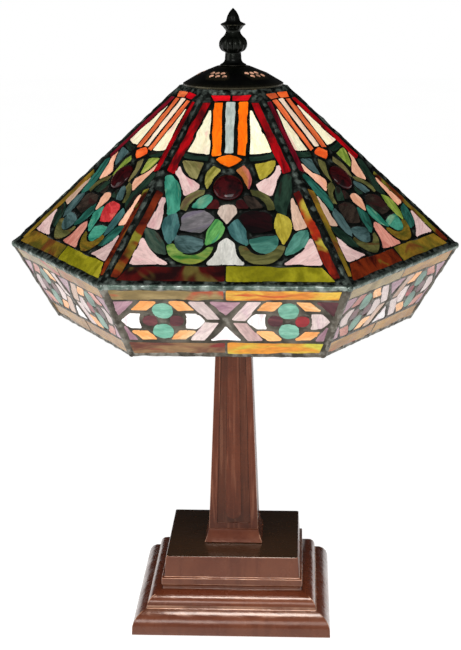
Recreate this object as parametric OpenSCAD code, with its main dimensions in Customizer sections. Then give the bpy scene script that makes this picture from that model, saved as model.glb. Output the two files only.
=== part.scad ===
// Stained glass table lamp: a six-sided leaded shade with a sloping crown and
// an inward-leaning band, clamped by a finial to a threaded pipe that stands in
// a square tapered column on a stepped, moulded base.
// Frame: +Z up, millimetres, origin on the table under the lamp's axis.
// The front panel faces -Y and the shade's corners point along +X and -X.

/* [Shade] */
// Distance from the axis to the shade's corners at the rim
shade_corner_r = 200; // [194:1:206]
// Height of the rim, where crown and band meet
rim_z = 346; // [342:1:350]
// Distance from the axis to the corners of the mouth
mouth_corner_r = 160.5; // [156:0.5:165]
// Height of the mouth, the shade's lower edge
mouth_z = 280.5; // [276:0.5:284]
// Distance from the axis to the corners where the crown panels would meet the cap
crown_corner_r = 46; // [45:0.5:48]
// Height of that upper hexagon
crown_z = 488.5; // [484:0.5:489]
// Thickness of the sheet glass
glass_t = 3; // [2.4:0.1:3.4]
// Thickness of the solder and foil net that holds the glass
lead_t = 4; // [3.8:0.1:4.8]

/* [Base] */
// Half the width of the base at the table
base_half = 90; // [86:1:94]
// Height of the top of the base
base_top_z = 66.7; // [66.7:0.1:68]
// Half the width of the column just above its foot
column_foot_half = 22.9; // [22.5:0.1:23.5]
// Half the width of the column at its top
column_top_half = 13.8; // [13.4:0.1:14.4]
// Height of the top of the column
column_top_z = 318; // [312:1:322]

/* [Fittings] */
// Height at which the two socket arms leave the pipe
cluster_z = 425; // [420:1:428]
// Angle of each socket below the horizontal
socket_dip = 50; // [48:1:54]
// Radius of the round bulb
bulb_r = 30; // [28:1:30]
// Height of the tip of the finial
finial_tip_z = 557.5; // [556:0.5:560]

/* [Hidden] */

$fn = 64;

SIDES = 6;
SIDE_ANGLE = 360 / SIDES;
// A hexagon's distance to its flats, over its distance to its corners
FLAT = cos(SIDE_ANGLE / 2);

// --- Shade: planes of the panels -------------------------------------------
rim_flat = shade_corner_r * FLAT;
mouth_flat = mouth_corner_r * FLAT;
crown_flat = crown_corner_r * FLAT;
crown_rise = crown_z - rim_z;
crown_run = rim_flat - crown_flat;
band_drop = rim_z - mouth_z;
band_run = rim_flat - mouth_flat;
// Lengths of the panels measured up their slopes
crown_slant = sqrt(crown_rise * crown_rise + crown_run * crown_run);
band_slant = sqrt(band_drop * band_drop + band_run * band_run);
crown_tilt = atan2(crown_rise, crown_run);
band_tilt = 180 - atan2(band_drop, band_run);
rim_half = shade_corner_r / 2;
mouth_half = mouth_corner_r / 2;
crown_half = crown_corner_r / 2;

// Solder ribs and beads along the shade's edges
rib_r = 2.8;
rim_bead_r = 2.8;
mouth_bead_r = 2.1;
crown_bead_r = 2;
// Corner drops of solder stand this much proud of their bead
drop_over = 0.9;
crown_drop_over = 0.2;
// Panels stop this far short of the ribs' and beads' centre lines
rib_gap = rib_r + 0.05;
rim_gap = rim_bead_r + 0.05;
mouth_gap = mouth_bead_r + 0.05;
crown_gap = crown_bead_r + 0.05;

// The glass drawings below are made for a crown panel 200 wide at the rim and
// 196.4 up its slope, and a band panel 74.9 up its slope; these factors fit
// them to the panels above.
art_x = rim_half / 100;
crown_art_y = crown_slant / 196.4;
band_art_y = band_slant / 74.9;

// Turn of an outline per straight step where it follows an arc
ARC_STEP = 20;

// --- Base and column --------------------------------------------------------
felt_t = 1.5;
felt_inset = 3.5;
plate_t = 1.5;
plate_half = base_half - 7;
plate_play = 0.2;
cavity_low_half = base_half - 10;
cavity_low_z = 18;
cavity_half = base_half - 33;
top_plate_t = 7;
cavity_top_z = base_top_z - top_plate_t;
ballast_t = 20;
ballast_z = 26;
ballast_hole_r = 25;
inlet_z = 12;
inlet_r = 3.2;
inlet_barrel_r = 5;
inlet_flange_r = 7;
inlet_flange_t = 3;
inlet_seat_y = base_half - 9;
inlet_len = 9;
foot_half = 26.8;
foot_top_z = base_top_z + 13;
foot_top_half = column_foot_half + 0.5;
column_bore_r = 9;
column_wall = 6.5;
column_head_t = 8;
column_cap_t = 5;
column_cap_over = 2.5;
column_len = column_top_z - foot_top_z;
column_lean = atan2(column_foot_half - column_top_half, column_len);
recess_d = 1.5;
recess_border = 7.4;
recess_low = 5.5;
recess_end = 14;
tongue_border = 15;
tongue_low = 16;

// --- Pipe, nuts and cluster -------------------------------------------------
pipe_r = 4.85;
pipe_bore_r = 3.3;
pipe_low_z = 42;
seat_top_z = 505.4;
seat_t = 1.6;
seat_r = 14;
fit_play = 0.07;
nut_r = 9;
nut_t = 5.7;
washer_r = 14;
washer_t = 2;
pipe_top_z = seat_top_z + 13.6;
cluster_r = 14;
cluster_high = 13;
cluster_low = 19;
boss_r = 9;
boss_end = 17;
nipple_start = 14;
nipple_end = 33;
cap_start = 25.5;
cap_end = 43;
cap_r = 17.4;
shell_r = 16.2;
shell_t = 0.8;
shell_end = 82;
core_start = 44;
core_solid_end = 58;
core_end = 80;
screw_r = 13.2;
screw_t = 0.8;
screw_start = 58.2;
screw_end = 79;
bulb_base_r = screw_r - fit_play;
contact_r = 5;
contact_start = 58.6;
bulb_base_start = 60;
bulb_base_end = 86;
bulb_centre = 136;
bulb_t = 1;
switch_at = 51;
spindle_r = 2.5;
spindle_in = 4;
knob_in = 24;
knob_len = 11;
knob_r = 5.5;

// --- Cap and finial ---------------------------------------------------------
cap_rim_r = 44.5;
cap_rim_z = crown_z + 2.3;
cap_hub_r = 15;
cap_t = 1.4;
cap_top_z = seat_top_z + cap_t;
cap_groups = 5;
cap_group_start = -117;
vent_r = 2;
finial_low_z = cap_top_z;

// ============================================================================
// Outlines
// ============================================================================

// Points from p up to but not including q, along an arc that bows out by rise
// to the right of the way; the rise may be negative or nil.
function side(p, q, rise) =
    rise == 0 ? [p] :
    let (
        chord = norm(q - p),
        half_turn = 2 * atan(2 * rise / chord),
        radius = chord / 2 / sin(half_turn),
        steps = max(2, ceil(abs(2 * half_turn) / ARC_STEP)),
        along = (q - p) / chord,
        out = [along.y, -along.x],
        mid = (p + q) / 2
    )
    [for (i = [0:steps - 1])
        let (t = half_turn * (2 * i / steps - 1))
        mid + along * radius * sin(t) + out * radius * (cos(t) - cos(half_turn))];

// A closed outline from corners [x, y, rise], anticlockwise; each rise bows the
// side that leaves its corner.
function outline(corners) = [
    for (i = [0:len(corners) - 1])
        let (a = corners[i], b = corners[(i + 1) % len(corners)])
        each side([a[0], a[1]], [b[0], b[1]], len(a) > 2 ? a[2] : 0)
];

// A round outline as straight steps
function round_outline(centre, r, steps = 20) = [
    for (i = [0:steps - 1]) centre + r * [cos(360 * i / steps), sin(360 * i / steps)]
];

// Both the drawn right-hand pieces and their mirror images on the left
function both(pieces) = concat(
    pieces,
    [for (p = pieces) [for (i = [len(p) - 1:-1:0]) [-p[i].x, p[i].y]]]
);

function fit(pieces, sx, sy) = [for (p = pieces) [for (q = p) [q.x * sx, q.y * sy]]];

// Half the width of the crown panel at y up its slope, in the drawing's units
function crown_edge(y) = 100 - 0.392 * y;

// ============================================================================
// Glass drawings: crown panel. x runs right from the centre line and y up the
// slope from the rim. Pieces are drawn for the right half.
// ============================================================================

// The strip of glass that runs up each side of the panel
border_out = 4.5;
border_in = 10.5;
TOP_PANES = [
    outline([[1.4, 185.9], [14.2, 185.9], [17, 190.9], [1.4, 190.9]])
];
RUBY_BARS = [
    outline([
        [crown_edge(110.4) - border_in, 110.4], [crown_edge(112.8) - border_out, 112.8],
        [crown_edge(183.5) - border_out, 183.5], [crown_edge(183.5) - border_in, 183.5]
    ])
];
BORDER_BARS = [
    outline([
        [crown_edge(16) - border_in, 16], [crown_edge(8.5) - border_out, 8.5],
        [crown_edge(93) - border_out, 93], [crown_edge(90) - border_in, 90]
    ])
];
RIM_STRIPS = [
    outline([[1.5, 4.9], [88.8, 4.9], [78, 17.8], [1.5, 17.8]])
];
ORANGE_BARS = [
    outline([[7.4, 129.2], [13.9, 127.9], [13.9, 183.5], [7.4, 183.5]])
];
CENTRE_BARS = [
    outline([[-3.3, 131.2], [3.3, 131.2], [3.3, 183.5], [-3.3, 183.5]])
];
CREAM_PANES = [
    outline([[17.6, 129.6, 0.7], [35, 132.4], [17.6, 174.6]])
];
CREST_PANES = [
    outline([[0, 116.6, 0.8], [10.6, 124, 4.2], [-10.6, 124, 0.8]])
];
SHOULDER_PANES = [
    outline([[18.4, 122.9, 0.7], [37.4, 126.2], [36.3, 129.2, -0.7], [17.6, 126.4]]),
    outline([[26.6, 104.6, 3], [37.8, 121.9], [22.3, 119.3]])
];
JEWEL_Y = 95.5;
JEWEL_R = 12.5;
JEWEL_LEAVES = [
    outline([[17.4, 94.4, 3.6], [12.6, 117.2], [7.2, 113, -1.4]])
];
PINK_PANES = [
    outline([
        [35.8, 88.3, -0.8], [43.4, 110.8], [41.2, 117, -2],
        [30, 102.3], [24.6, 98, 0.6], [27.4, 93.4]
    ]),
    outline([[56.4, 54.6, 0], [64.4, 57, 0], [53.6, 85, 0], [52.8, 82, 0.3]]),
    outline([[48.4, 21.4], [77.6, 21.4], [69, 44.2, -2.8]])
];
CENTRE_PANES = [
    outline([[0, 60], [7.3, 70.6, 0.6], [4.4, 76.6, 0.8], [-4.4, 76.6, 0.6], [-7.3, 70.6]]),
    outline([
        [-14.6, 21.4], [14.6, 21.4, -1.2], [7.2, 33], [6, 40, 0.6],
        [0, 45.6, 0.6], [-6, 40], [-7.2, 33, -1.2]
    ])
];
TALL_LEAVES = [
    outline([
        [48.4, 69], [49.6, 80, 0.4], [51.6, 94], [52.2, 106, 0.8],
        [47.1, 107.4, 3.4], [40.6, 74, 0.5]
    ])
];
SIDE_LEAVES = [
    outline([[46.8, 41.4, 3.2], [50.4, 64.6, 0.5], [42, 68.8, 3.6]]),
    outline([[49.6, 30.6, 6], [65.8, 53.4, 0.6], [56.2, 49.2, 1.4]])
];
ARCHING_LEAVES = [
    outline([[34.4, 73.8], [38, 75, 4.4], [19.8, 92.6], [20.8, 88.6, -3]]),
    outline([[19.8, 75.4], [28.6, 76, 1.5], [16.2, 87.8], [13.4, 86, 0.5]]),
    outline([[8.2, 76], [16.2, 75.6], [11, 82.6], [8.4, 81]])
];
PETALS = [
    outline([
        [21.6, 51.6, 0.5], [37, 54.2], [36.2, 67, 0.9], [30, 70.6, 0.3],
        [17.4, 71, 0.6], [11.2, 66, 0.8]
    ]),
    outline([[19.8, 43.6, 13], [40.4, 47, 1.6]])
];
FLOWER_LEAVES = [
    outline([[16.6, 39.4, 2.2], [8.4, 63.4, 0.4], [2, 55.8, 3.4]]),
    outline([[11.2, 36.8, 16], [47.6, 38], [44, 38.8, -8.6], [15.4, 35.8]])
];

// ============================================================================
// Glass drawings: band panel, y up the slope from the mouth.
// ============================================================================

MEDALLION = [51.5, 39];
BAND_STRIPS = [
    outline([[1.5, 63], [91.8, 63], [94, 71.3], [1.5, 71.3]]),
    outline([[1.5, 3.5], [76.9, 3.5], [80, 14], [1.5, 14]])
];
BAND_CHEVRONS = [
    outline([[5.4, 40.8], [15, 40.8], [29, 59.6], [18.2, 59.6]]),
    outline([[6.4, 36.6], [18.2, 17.8], [29, 17.8], [16.6, 36.6]])
];
BAND_CENTRES = [
    outline([[0, 45.4], [12.2, 59.6], [-12.2, 59.6]]),
    outline([[0, 32.2], [-11.6, 17.8], [11.6, 17.8]])
];
BAND_ARROWS = [
    outline([[18.2, 39, 0.4], [24.6, 31.6], [32.8, 31.6, -1.4], [32.8, 46.4], [24.6, 46.4, 0.4]]),
    outline([[84.8, 39, 0.4], [78.4, 46.4], [70.2, 46.4, -1.4], [70.2, 31.6], [78.4, 31.6, 0.4]])
];
BAND_ORANGES = [
    for (sx = [1, -1], sy = [1, -1])
        let (
            quarter = [[6.4, 20.6, 0], [13.4, 11.8, 0], [25.6, 11.8, 0], [17.6, 20.6, 0]],
            placed = [for (q = quarter) [MEDALLION.x + sx * q[0], MEDALLION.y + sy * q[1], 0]],
            count = len(placed)
        )
        outline(sx * sy < 0 ? [for (i = [count - 1:-1:0]) placed[i]] : placed)
];
ROUNDEL_R = 8;
ROUNDEL_OFF = 11.4;
BAND_ROUNDELS = [
    for (sy = [1, -1]) round_outline(MEDALLION + [0, sy * ROUNDEL_OFF], ROUNDEL_R)
];
RUBY_R = 5.4;
RUBY_OFF = 11.2;
BAND_RUBIES = [
    for (sx = [1, -1]) round_outline(MEDALLION + [sx * RUBY_OFF, 0], RUBY_R, 16)
];
BAND_MAUVES = [
    outline([[88, 44.8], [91.2, 59.6], [75.6, 59.6]]),
    outline([[73.8, 17.8], [80, 17.8], [83.8, 32.4]])
];

CROWN_ART = concat(
    both(concat(
        TOP_PANES, RUBY_BARS, BORDER_BARS, RIM_STRIPS, ORANGE_BARS, CREAM_PANES,
        SHOULDER_PANES, JEWEL_LEAVES, PINK_PANES, TALL_LEAVES, SIDE_LEAVES,
        ARCHING_LEAVES, PETALS, FLOWER_LEAVES
    )),
    CENTRE_BARS, CREST_PANES, CENTRE_PANES,
    [round_outline([0, JEWEL_Y], JEWEL_R + 0.25, 28)]
);
BAND_ART = concat(
    both(concat(
        BAND_STRIPS, BAND_CHEVRONS, BAND_ARROWS, BAND_ORANGES, BAND_ROUNDELS,
        BAND_RUBIES, BAND_MAUVES
    )),
    BAND_CENTRES
);

// ============================================================================
// Placing
// ============================================================================

// Children drawn flat, y up the slope, are set on all six crown panels
module on_crown() {
    for (k = [0:SIDES - 1])
        rotate([0, 0, SIDE_ANGLE * k])
            translate([0, -rim_flat, rim_z])
                rotate([crown_tilt, 0, 0])
                    children();
}

module on_band() {
    for (k = [0:SIDES - 1])
        rotate([0, 0, SIDE_ANGLE * k])
            translate([0, -mouth_flat, mouth_z])
                rotate([band_tilt, 0, 0])
                    children();
}

// Flat pieces of glass, centred on the panel's mid plane
module panes(pieces) {
    for (p = pieces)
        translate([0, 0, -glass_t / 2])
            linear_extrude(glass_t)
                polygon(p);
}

module crown_glass(pieces) {
    on_crown()
        panes(fit(pieces, art_x, crown_art_y));
}

module band_glass(pieces) {
    on_band()
        panes(fit(pieces, art_x, band_art_y));
}

// A panel's outline between y = low and y = high, kept gap inside its edges
module panel_outline(low_half, high_half, slant, low, high, gap) {
    lean = atan2(low_half - high_half, slant);
    inset = gap / cos(lean);
    low_x = low_half - low * tan(lean) - inset;
    high_x = low_half - high * tan(lean) - inset;
    polygon([[-low_x, low], [low_x, low], [high_x, high], [-high_x, high]]);
}

// Height of a rod's end above its corner that keeps it off the next bead
function rod_start(r, bead_r, angle) = (bead_r + r * abs(cos(angle))) / sin(angle) + 0.1;

// A straight rod between two points, stopping short of both
module rod(a, b, r, short_a, short_b) {
    way = b - a;
    len = norm(way);
    turn = atan2(way.y, way.x);
    lean = acos(way.z / len);
    translate(a)
        rotate([0, lean, turn])
            translate([0, 0, short_a])
                cylinder(h = len - short_a - short_b, r = r);
}

// A six-sided ring of round rod, with a drop of solder on each corner
module hex_bead(corner_r, z, r, over = drop_over) {
    half = corner_r / 2;
    translate([0, 0, z])
        for (k = [0:SIDES - 1])
            rotate([0, 0, SIDE_ANGLE * k]) {
                translate([-half, -corner_r * FLAT, 0])
                    rotate([0, 90, 0])
                        cylinder(h = 2 * half, r = r);
                translate([-half, -corner_r * FLAT, 0])
                    sphere(r = r + over);
            }
}

// Six straight ribs between the corners of two hexagons
module corner_ribs(low_r, low_z, high_r, high_z, low_bead, high_bead) {
    run = high_r - low_r;
    length = norm([run, high_z - low_z]);
    // Angle between a rib and the hexagon's sides at its ends
    angle = acos(abs(run) / length / 2);
    short_low = max(rod_start(rib_r, low_bead, angle), low_bead + drop_over + 0.1);
    short_high = max(rod_start(rib_r, high_bead, angle), high_bead + drop_over + 0.1);
    for (k = [0:SIDES - 1])
        rotate([0, 0, SIDE_ANGLE * k])
            rod([low_r, 0, low_z], [high_r, 0, high_z], rib_r, short_low, short_high);
}

// ============================================================================
// Shade: metalwork
// ============================================================================

module crown_leads() {
    color([0.16, 0.19, 0.16])
        on_crown()
            translate([0, 0, -lead_t / 2])
                linear_extrude(lead_t)
                    difference() {
                        panel_outline(
                            rim_half, crown_half, crown_slant,
                            rim_gap, crown_slant - crown_gap, rib_gap
                        );
                        for (p = fit(CROWN_ART, art_x, crown_art_y))
                            polygon(p);
                    }
}

module band_leads() {
    color([0.3, 0.31, 0.28])
        on_band()
            translate([0, 0, -lead_t / 2])
                linear_extrude(lead_t)
                    difference() {
                        panel_outline(
                            mouth_half, rim_half, band_slant,
                            mouth_gap, band_slant - rim_gap, rib_gap
                        );
                        for (p = fit(BAND_ART, art_x, band_art_y))
                            polygon(p);
                    }
}

module hip_ribs() {
    color([0.13, 0.16, 0.13])
        corner_ribs(shade_corner_r, rim_z, crown_corner_r, crown_z, rim_bead_r, crown_bead_r);
}

module band_ribs() {
    color([0.25, 0.25, 0.22])
        corner_ribs(mouth_corner_r, mouth_z, shade_corner_r, rim_z, mouth_bead_r, rim_bead_r);
}

module rim_bead() {
    color([0.36, 0.4, 0.36])
        hex_bead(shade_corner_r, rim_z, rim_bead_r);
}

module mouth_bead() {
    color([0.25, 0.22, 0.18])
        hex_bead(mouth_corner_r, mouth_z, mouth_bead_r);
}

module crown_bead() {
    color([0.4, 0.45, 0.4])
        hex_bead(crown_corner_r, crown_z, crown_bead_r, crown_drop_over);
}

// Brass ring inside the top of the crown, which the cap is soldered to
module crown_ring() {
    ring_flat = crown_flat - crown_bead_r - 0.6;
    ring_t = 2.5;
    ring_low_z = crown_z - 4;
    color([0.5, 0.38, 0.16])
        translate([0, 0, ring_low_z])
            difference() {
                cylinder(h = cap_rim_z - ring_low_z, r = ring_flat / FLAT, $fn = SIDES);
                translate([0, 0, -1])
                    cylinder(h = cap_rim_z - ring_low_z + 2, r = ring_flat - ring_t);
            }
}

// Pierced cap: a shallow dome with a flat hub that sits on the seat ring
module vase_cap() {
    // Outer surface from the hub down to the rim, then back along the inside
    crown = side([cap_hub_r, cap_top_z], [cap_rim_r, cap_rim_z + cap_t], -1.2);
    under = side([cap_rim_r - 0.6, cap_rim_z], [cap_hub_r, seat_top_z], 1.2);
    hole_r = pipe_r + fit_play;
    row_r = [25.5, 30.5];
    row_step = 12;
    color([0.12, 0.15, 0.1])
        difference() {
            rotate_extrude()
                polygon(concat(
                    [[hole_r, seat_top_z], [hole_r, cap_top_z]],
                    crown,
                    [[cap_rim_r, cap_rim_z + cap_t], [cap_rim_r, cap_rim_z]],
                    under,
                    [[cap_hub_r, seat_top_z]]
                ));
            for (g = [0:cap_groups - 1], row = [0, 1], i = [0:2])
                rotate([0, 0, cap_group_start + 360 / cap_groups * g + row_step * (i + row / 2 - 1.25)])
                    translate([row_r[row], 0, cap_rim_z - 5])
                        cylinder(h = 30, r = vent_r);
        }
}

// ============================================================================
// Shade: glass
// ============================================================================

module top_panes() {
    color([0.8, 0.05, 0.08])
        crown_glass(both(TOP_PANES));
}

module ruby_bars() {
    color([0.62, 0.01, 0.04])
        crown_glass(both(RUBY_BARS));
}

module border_bars() {
    color([0.45, 0.2, 0.08])
        crown_glass(both(BORDER_BARS));
}

module rim_strips() {
    color([0.55, 0.5, 0.1])
        crown_glass(both(RIM_STRIPS));
}

module orange_bars() {
    color([0.98, 0.48, 0.05])
        crown_glass(both(ORANGE_BARS));
}

module centre_bars() {
    color([0.72, 0.76, 0.74])
        crown_glass(CENTRE_BARS);
}

module cream_panes() {
    color([1, 0.97, 0.82])
        crown_glass(both(CREAM_PANES));
}

module crest_panes() {
    color([0.98, 0.5, 0.15])
        crown_glass(CREST_PANES);
}

module shoulder_panes() {
    color([0.55, 0.54, 0.25])
        crown_glass(both(SHOULDER_PANES));
}

// Round pressed jewels, flat behind and domed in front
module jewels() {
    dome_h = 4.5;
    flat_h = 1.5;
    dome = side([JEWEL_R, flat_h], [0, flat_h + dome_h], 1.6);
    color([0.2, 0.01, 0.03])
        on_crown()
            translate([0, JEWEL_Y * crown_art_y, 0])
                rotate_extrude()
                    polygon(concat([[0, -flat_h], [JEWEL_R, -flat_h]], dome, [[0, flat_h + dome_h]]));
}

module jewel_leaves() {
    color([0.62, 0.6, 0.25])
        crown_glass(both(JEWEL_LEAVES));
}

module pink_panes() {
    color([0.92, 0.76, 0.73])
        crown_glass(both(PINK_PANES));
}

module centre_panes() {
    color([0.85, 0.84, 0.78])
        crown_glass(CENTRE_PANES);
}

module tall_leaves() {
    color([0.2, 0.55, 0.45])
        crown_glass(both(TALL_LEAVES));
}

module side_leaves() {
    color([0.27, 0.5, 0.48])
        crown_glass(both(SIDE_LEAVES));
}

module arching_leaves() {
    color([0.5, 0.5, 0.3])
        crown_glass(both(ARCHING_LEAVES));
}

module petals() {
    color([0.45, 0.4, 0.42])
        crown_glass(both(PETALS));
}

module flower_leaves() {
    color([0.32, 0.62, 0.3])
        crown_glass(both(FLOWER_LEAVES));
}

module band_strips() {
    color([0.75, 0.5, 0.2])
        band_glass(both(BAND_STRIPS));
}

module band_chevrons() {
    color([0.97, 0.9, 0.9])
        band_glass(both(BAND_CHEVRONS));
}

module band_arrows() {
    color([0.98, 0.97, 0.95])
        band_glass(both(BAND_ARROWS));
}

module band_oranges() {
    color([0.97, 0.66, 0.38])
        band_glass(both(BAND_ORANGES));
}

module band_roundels() {
    color([0.5, 0.75, 0.66])
        band_glass(both(BAND_ROUNDELS));
}

module band_rubies() {
    color([0.55, 0.16, 0.2])
        band_glass(both(BAND_RUBIES));
}

module band_mauves() {
    color([0.75, 0.58, 0.68])
        band_glass(concat(both(BAND_MAUVES), BAND_CENTRES));
}

// ============================================================================
// Base and column
// ============================================================================

// A square moulding: the profile, given for the right side as [half width, z,
// rise] from bottom to top, runs round all four sides with mitred corners
module square_moulding(profile) {
    right = outline(profile);
    shape = concat(right, [for (i = [len(right) - 1:-1:0]) [-right[i].x, right[i].y]]);
    reach = 2 * base_half;
    intersection() {
        rotate([90, 0, 0])
            linear_extrude(2 * reach, center = true)
                polygon(shape);
        rotate([90, 0, 90])
            linear_extrude(2 * reach, center = true)
                polygon(shape);
    }
}

// A square block, wider or narrower at the top
module square_taper(low_half, low_z, high_half, high_z) {
    square_moulding([[low_half, low_z], [high_half, high_z]]);
}

module square_block(half, low_z, high_z) {
    translate([-half, -half, low_z])
        cube([2 * half, 2 * half, high_z - low_z]);
}

module felt_pad() {
    color([0.1, 0.16, 0.12])
        square_block(base_half - felt_inset, 0, felt_t);
}

module bottom_plate() {
    color([0.4, 0.4, 0.42])
        square_block(plate_half - plate_play, felt_t, felt_t + plate_t);
}

module base_casting() {
    b = base_half;
    color([0.42, 0.25, 0.2])
        difference() {
            square_moulding([
                [b, felt_t], [b, 4.5, 4.2], [b - 12.6, 22.4], [b - 13.4, 23.6],
                [b - 13, 24.6, 2.6], [b - 22.5, 33.6], [b - 24.2, 34.6, -1.4],
                [b - 26.6, 39.6], [b - 25.6, 40.6], [b - 25.6, 46.4], [b - 28, 47.2],
                [b - 29.3, base_top_z - 1.4, 0.4], [b - 30.8, base_top_z]
            ]);
            square_block(plate_half, felt_t - 1, felt_t + plate_t);
            square_block(cavity_low_half, felt_t + plate_t - 0.5, cavity_low_z);
            square_block(cavity_half, cavity_low_z - 1, cavity_top_z);
            cylinder(h = base_top_z + 10, r = pipe_r + 0.15);
            translate([0, inlet_seat_y - inlet_len, inlet_z])
                rotate([-90, 0, 0])
                    cylinder(h = inlet_len + 1, r = inlet_barrel_r);
            translate([0, inlet_seat_y, inlet_z])
                rotate([-90, 0, 0])
                    cylinder(h = 20, r = inlet_flange_r + 0.5);
        }
}

// Iron block cemented into the base, with a way for the cord through its middle
module ballast_block() {
    color([0.3, 0.3, 0.3])
        difference() {
            square_block(cavity_half, ballast_z, ballast_z + ballast_t);
            translate([0, 0, ballast_z - 1])
                cylinder(h = ballast_t + 2, r = ballast_hole_r);
        }
}

// Bushing for the cord in the back of the base
module cord_bushing() {
    color([0.1, 0.1, 0.1])
        translate([0, inlet_seat_y - inlet_len, inlet_z])
            rotate([-90, 0, 0])
                difference() {
                    union() {
                        cylinder(h = inlet_len, r = inlet_barrel_r);
                        translate([0, 0, inlet_len])
                            cylinder(h = inlet_flange_t, r = inlet_flange_r);
                    }
                    translate([0, 0, -1])
                        cylinder(h = inlet_len + inlet_flange_t + 2, r = inlet_r);
                }
}

module column_foot() {
    color([0.45, 0.27, 0.22])
        difference() {
            square_moulding([
                [foot_half, base_top_z], [foot_half, base_top_z + 1, -0.5],
                [foot_top_half, foot_top_z - 1.2], [foot_top_half, foot_top_z]
            ]);
            translate([0, 0, base_top_z - 1])
                cylinder(h = foot_top_z - base_top_z + 2, r = column_bore_r);
        }
}

// Half the width of the column's face at y up from its foot
function column_half(y) = column_foot_half - y * tan(column_lean);

module column() {
    high = column_len - recess_end;
    color([0.45, 0.27, 0.22])
        difference() {
            square_taper(column_foot_half, foot_top_z, column_top_half, column_top_z);
            square_taper(
                column_foot_half - column_wall, foot_top_z - 1,
                column_half(column_len - column_head_t) - column_wall, column_top_z - column_head_t
            );
            cylinder(h = column_top_z + 1, r = pipe_r + 0.15);
            for (k = [0:3])
                rotate([0, 0, 90 * k])
                    translate([0, -column_foot_half, foot_top_z])
                        rotate([90 - column_lean, 0, 0])
                            translate([0, 0, -recess_d])
                                linear_extrude(recess_d + 2)
                                    column_recess(high);
        }
}

// The sunk panel of a column face, around a raised tongue with a round foot
module column_recess(high) {
    low_x = column_half(recess_low) - recess_border;
    high_x = column_half(high) - recess_border * 0.62;
    tongue_low_x = column_half(tongue_low) - tongue_border;
    tongue_high_x = tongue_low_x * 0.62;
    difference() {
        polygon([[-low_x, recess_low], [low_x, recess_low], [high_x, high], [-high_x, high]]);
        polygon(outline([
            [-tongue_low_x, tongue_low, tongue_low_x * 0.9], [tongue_low_x, tongue_low],
            [tongue_high_x, high - 10, tongue_high_x * 0.9], [-tongue_high_x, high - 10]
        ]));
    }
}

module column_cap() {
    half = column_top_half + column_cap_over;
    color([0.4, 0.24, 0.2])
        difference() {
            square_moulding([
                [half, column_top_z], [half, column_top_z + 1.5, 1],
                [half - 4, column_top_z + column_cap_t]
            ]);
            cylinder(h = column_top_z + column_cap_t + 1, r = pipe_r + 0.15);
        }
}

// ============================================================================
// Pipe and fittings
// ============================================================================

// A round tube standing on the axis
module tube(low_z, high_z, r, bore_r) {
    translate([0, 0, low_z])
        difference() {
            cylinder(h = high_z - low_z, r = r);
            translate([0, 0, -1])
                cylinder(h = high_z - low_z + 2, r = bore_r);
        }
}

module nut(low_z) {
    translate([0, 0, low_z])
        difference() {
            cylinder(h = nut_t, r = nut_r, $fn = SIDES);
            translate([0, 0, -1])
                cylinder(h = nut_t + 2, r = pipe_r);
        }
}

module lamp_pipe() {
    color([0.62, 0.5, 0.25])
        tube(pipe_low_z, pipe_top_z, pipe_r, pipe_bore_r);
}

module base_washer() {
    color([0.6, 0.6, 0.6])
        tube(cavity_top_z - washer_t, cavity_top_z, washer_r, pipe_r + 0.15);
}

// Nuts on the pipe: under the base, on the column, under and over the cluster,
// and under the seat ring
module pipe_nuts() {
    color([0.65, 0.52, 0.26]) {
        nut(cavity_top_z - washer_t - nut_t);
        nut(column_top_z + column_cap_t);
        nut(cluster_z - cluster_low - nut_t);
        nut(cluster_z + cluster_high);
        nut(seat_top_z - seat_t - nut_t);
    }
}

// Sets children with their own +Z along a socket's axis; turn is 0 for the
// right socket and 180 for the left
module along_socket(turn) {
    rotate([0, 0, turn])
        translate([0, 0, cluster_z])
            rotate([0, 90 + socket_dip, 0])
                children();
}

module both_sockets() {
    along_socket(0)
        children();
    along_socket(180)
        children();
}

module cluster_body() {
    color([0.55, 0.43, 0.2])
        difference() {
            union() {
                translate([0, 0, cluster_z])
                    rotate_extrude()
                        polygon([
                            [0, -cluster_low], [cluster_r - 4, -cluster_low],
                            [cluster_r, -cluster_low + 5], [cluster_r, cluster_high - 5],
                            [cluster_r - 4, cluster_high], [0, cluster_high]
                        ]);
                both_sockets()
                    cylinder(h = boss_end, r = boss_r);
            }
            translate([0, 0, cluster_z - cluster_low - 1])
                cylinder(h = cluster_low + cluster_high + 2, r = pipe_r);
            both_sockets()
                translate([0, 0, nipple_start])
                    cylinder(h = 20, r = pipe_r);
            both_sockets()
                cylinder(h = nipple_start + 1, r = pipe_bore_r);
        }
}

module arm_nipples() {
    color([0.62, 0.5, 0.25])
        both_sockets()
            tube(nipple_start, nipple_end, pipe_r, pipe_bore_r);
}

// Domed brass cap that closes the back of each socket
module socket_caps() {
    wall_start = cap_start + 8;
    outer = side([9, cap_start], [cap_r, wall_start], 0.8);
    inner = side([cap_r - 1, wall_start], [8.4, cap_start + 1.2], -0.7);
    color([0.6, 0.47, 0.22])
        both_sockets()
            rotate_extrude()
                polygon(concat(
                    [[pipe_r, cap_start]],
                    outer,
                    [[cap_r, wall_start], [cap_r, cap_end], [cap_r - 1, cap_end]],
                    inner,
                    [[8.4, cap_start + 1.2], [pipe_r, cap_start + 1.2]]
                ));
}

module socket_shells() {
    color([0.64, 0.5, 0.24])
        both_sockets()
            difference() {
                tube(cap_end, shell_end, shell_r, shell_r - shell_t);
                switch_hole(shell_r + 2);
            }
}

// Insulating core: a solid block behind and a sleeve round the screw shell
module socket_cores() {
    core_r = shell_r - shell_t;
    color([0.12, 0.1, 0.09])
        both_sockets()
            difference() {
                translate([0, 0, core_start])
                    cylinder(h = core_end - core_start, r = core_r);
                translate([0, 0, core_solid_end])
                    cylinder(h = core_end - core_solid_end + 1, r = screw_r + screw_t);
                switch_hole(core_r + 2);
            }
}

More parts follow.
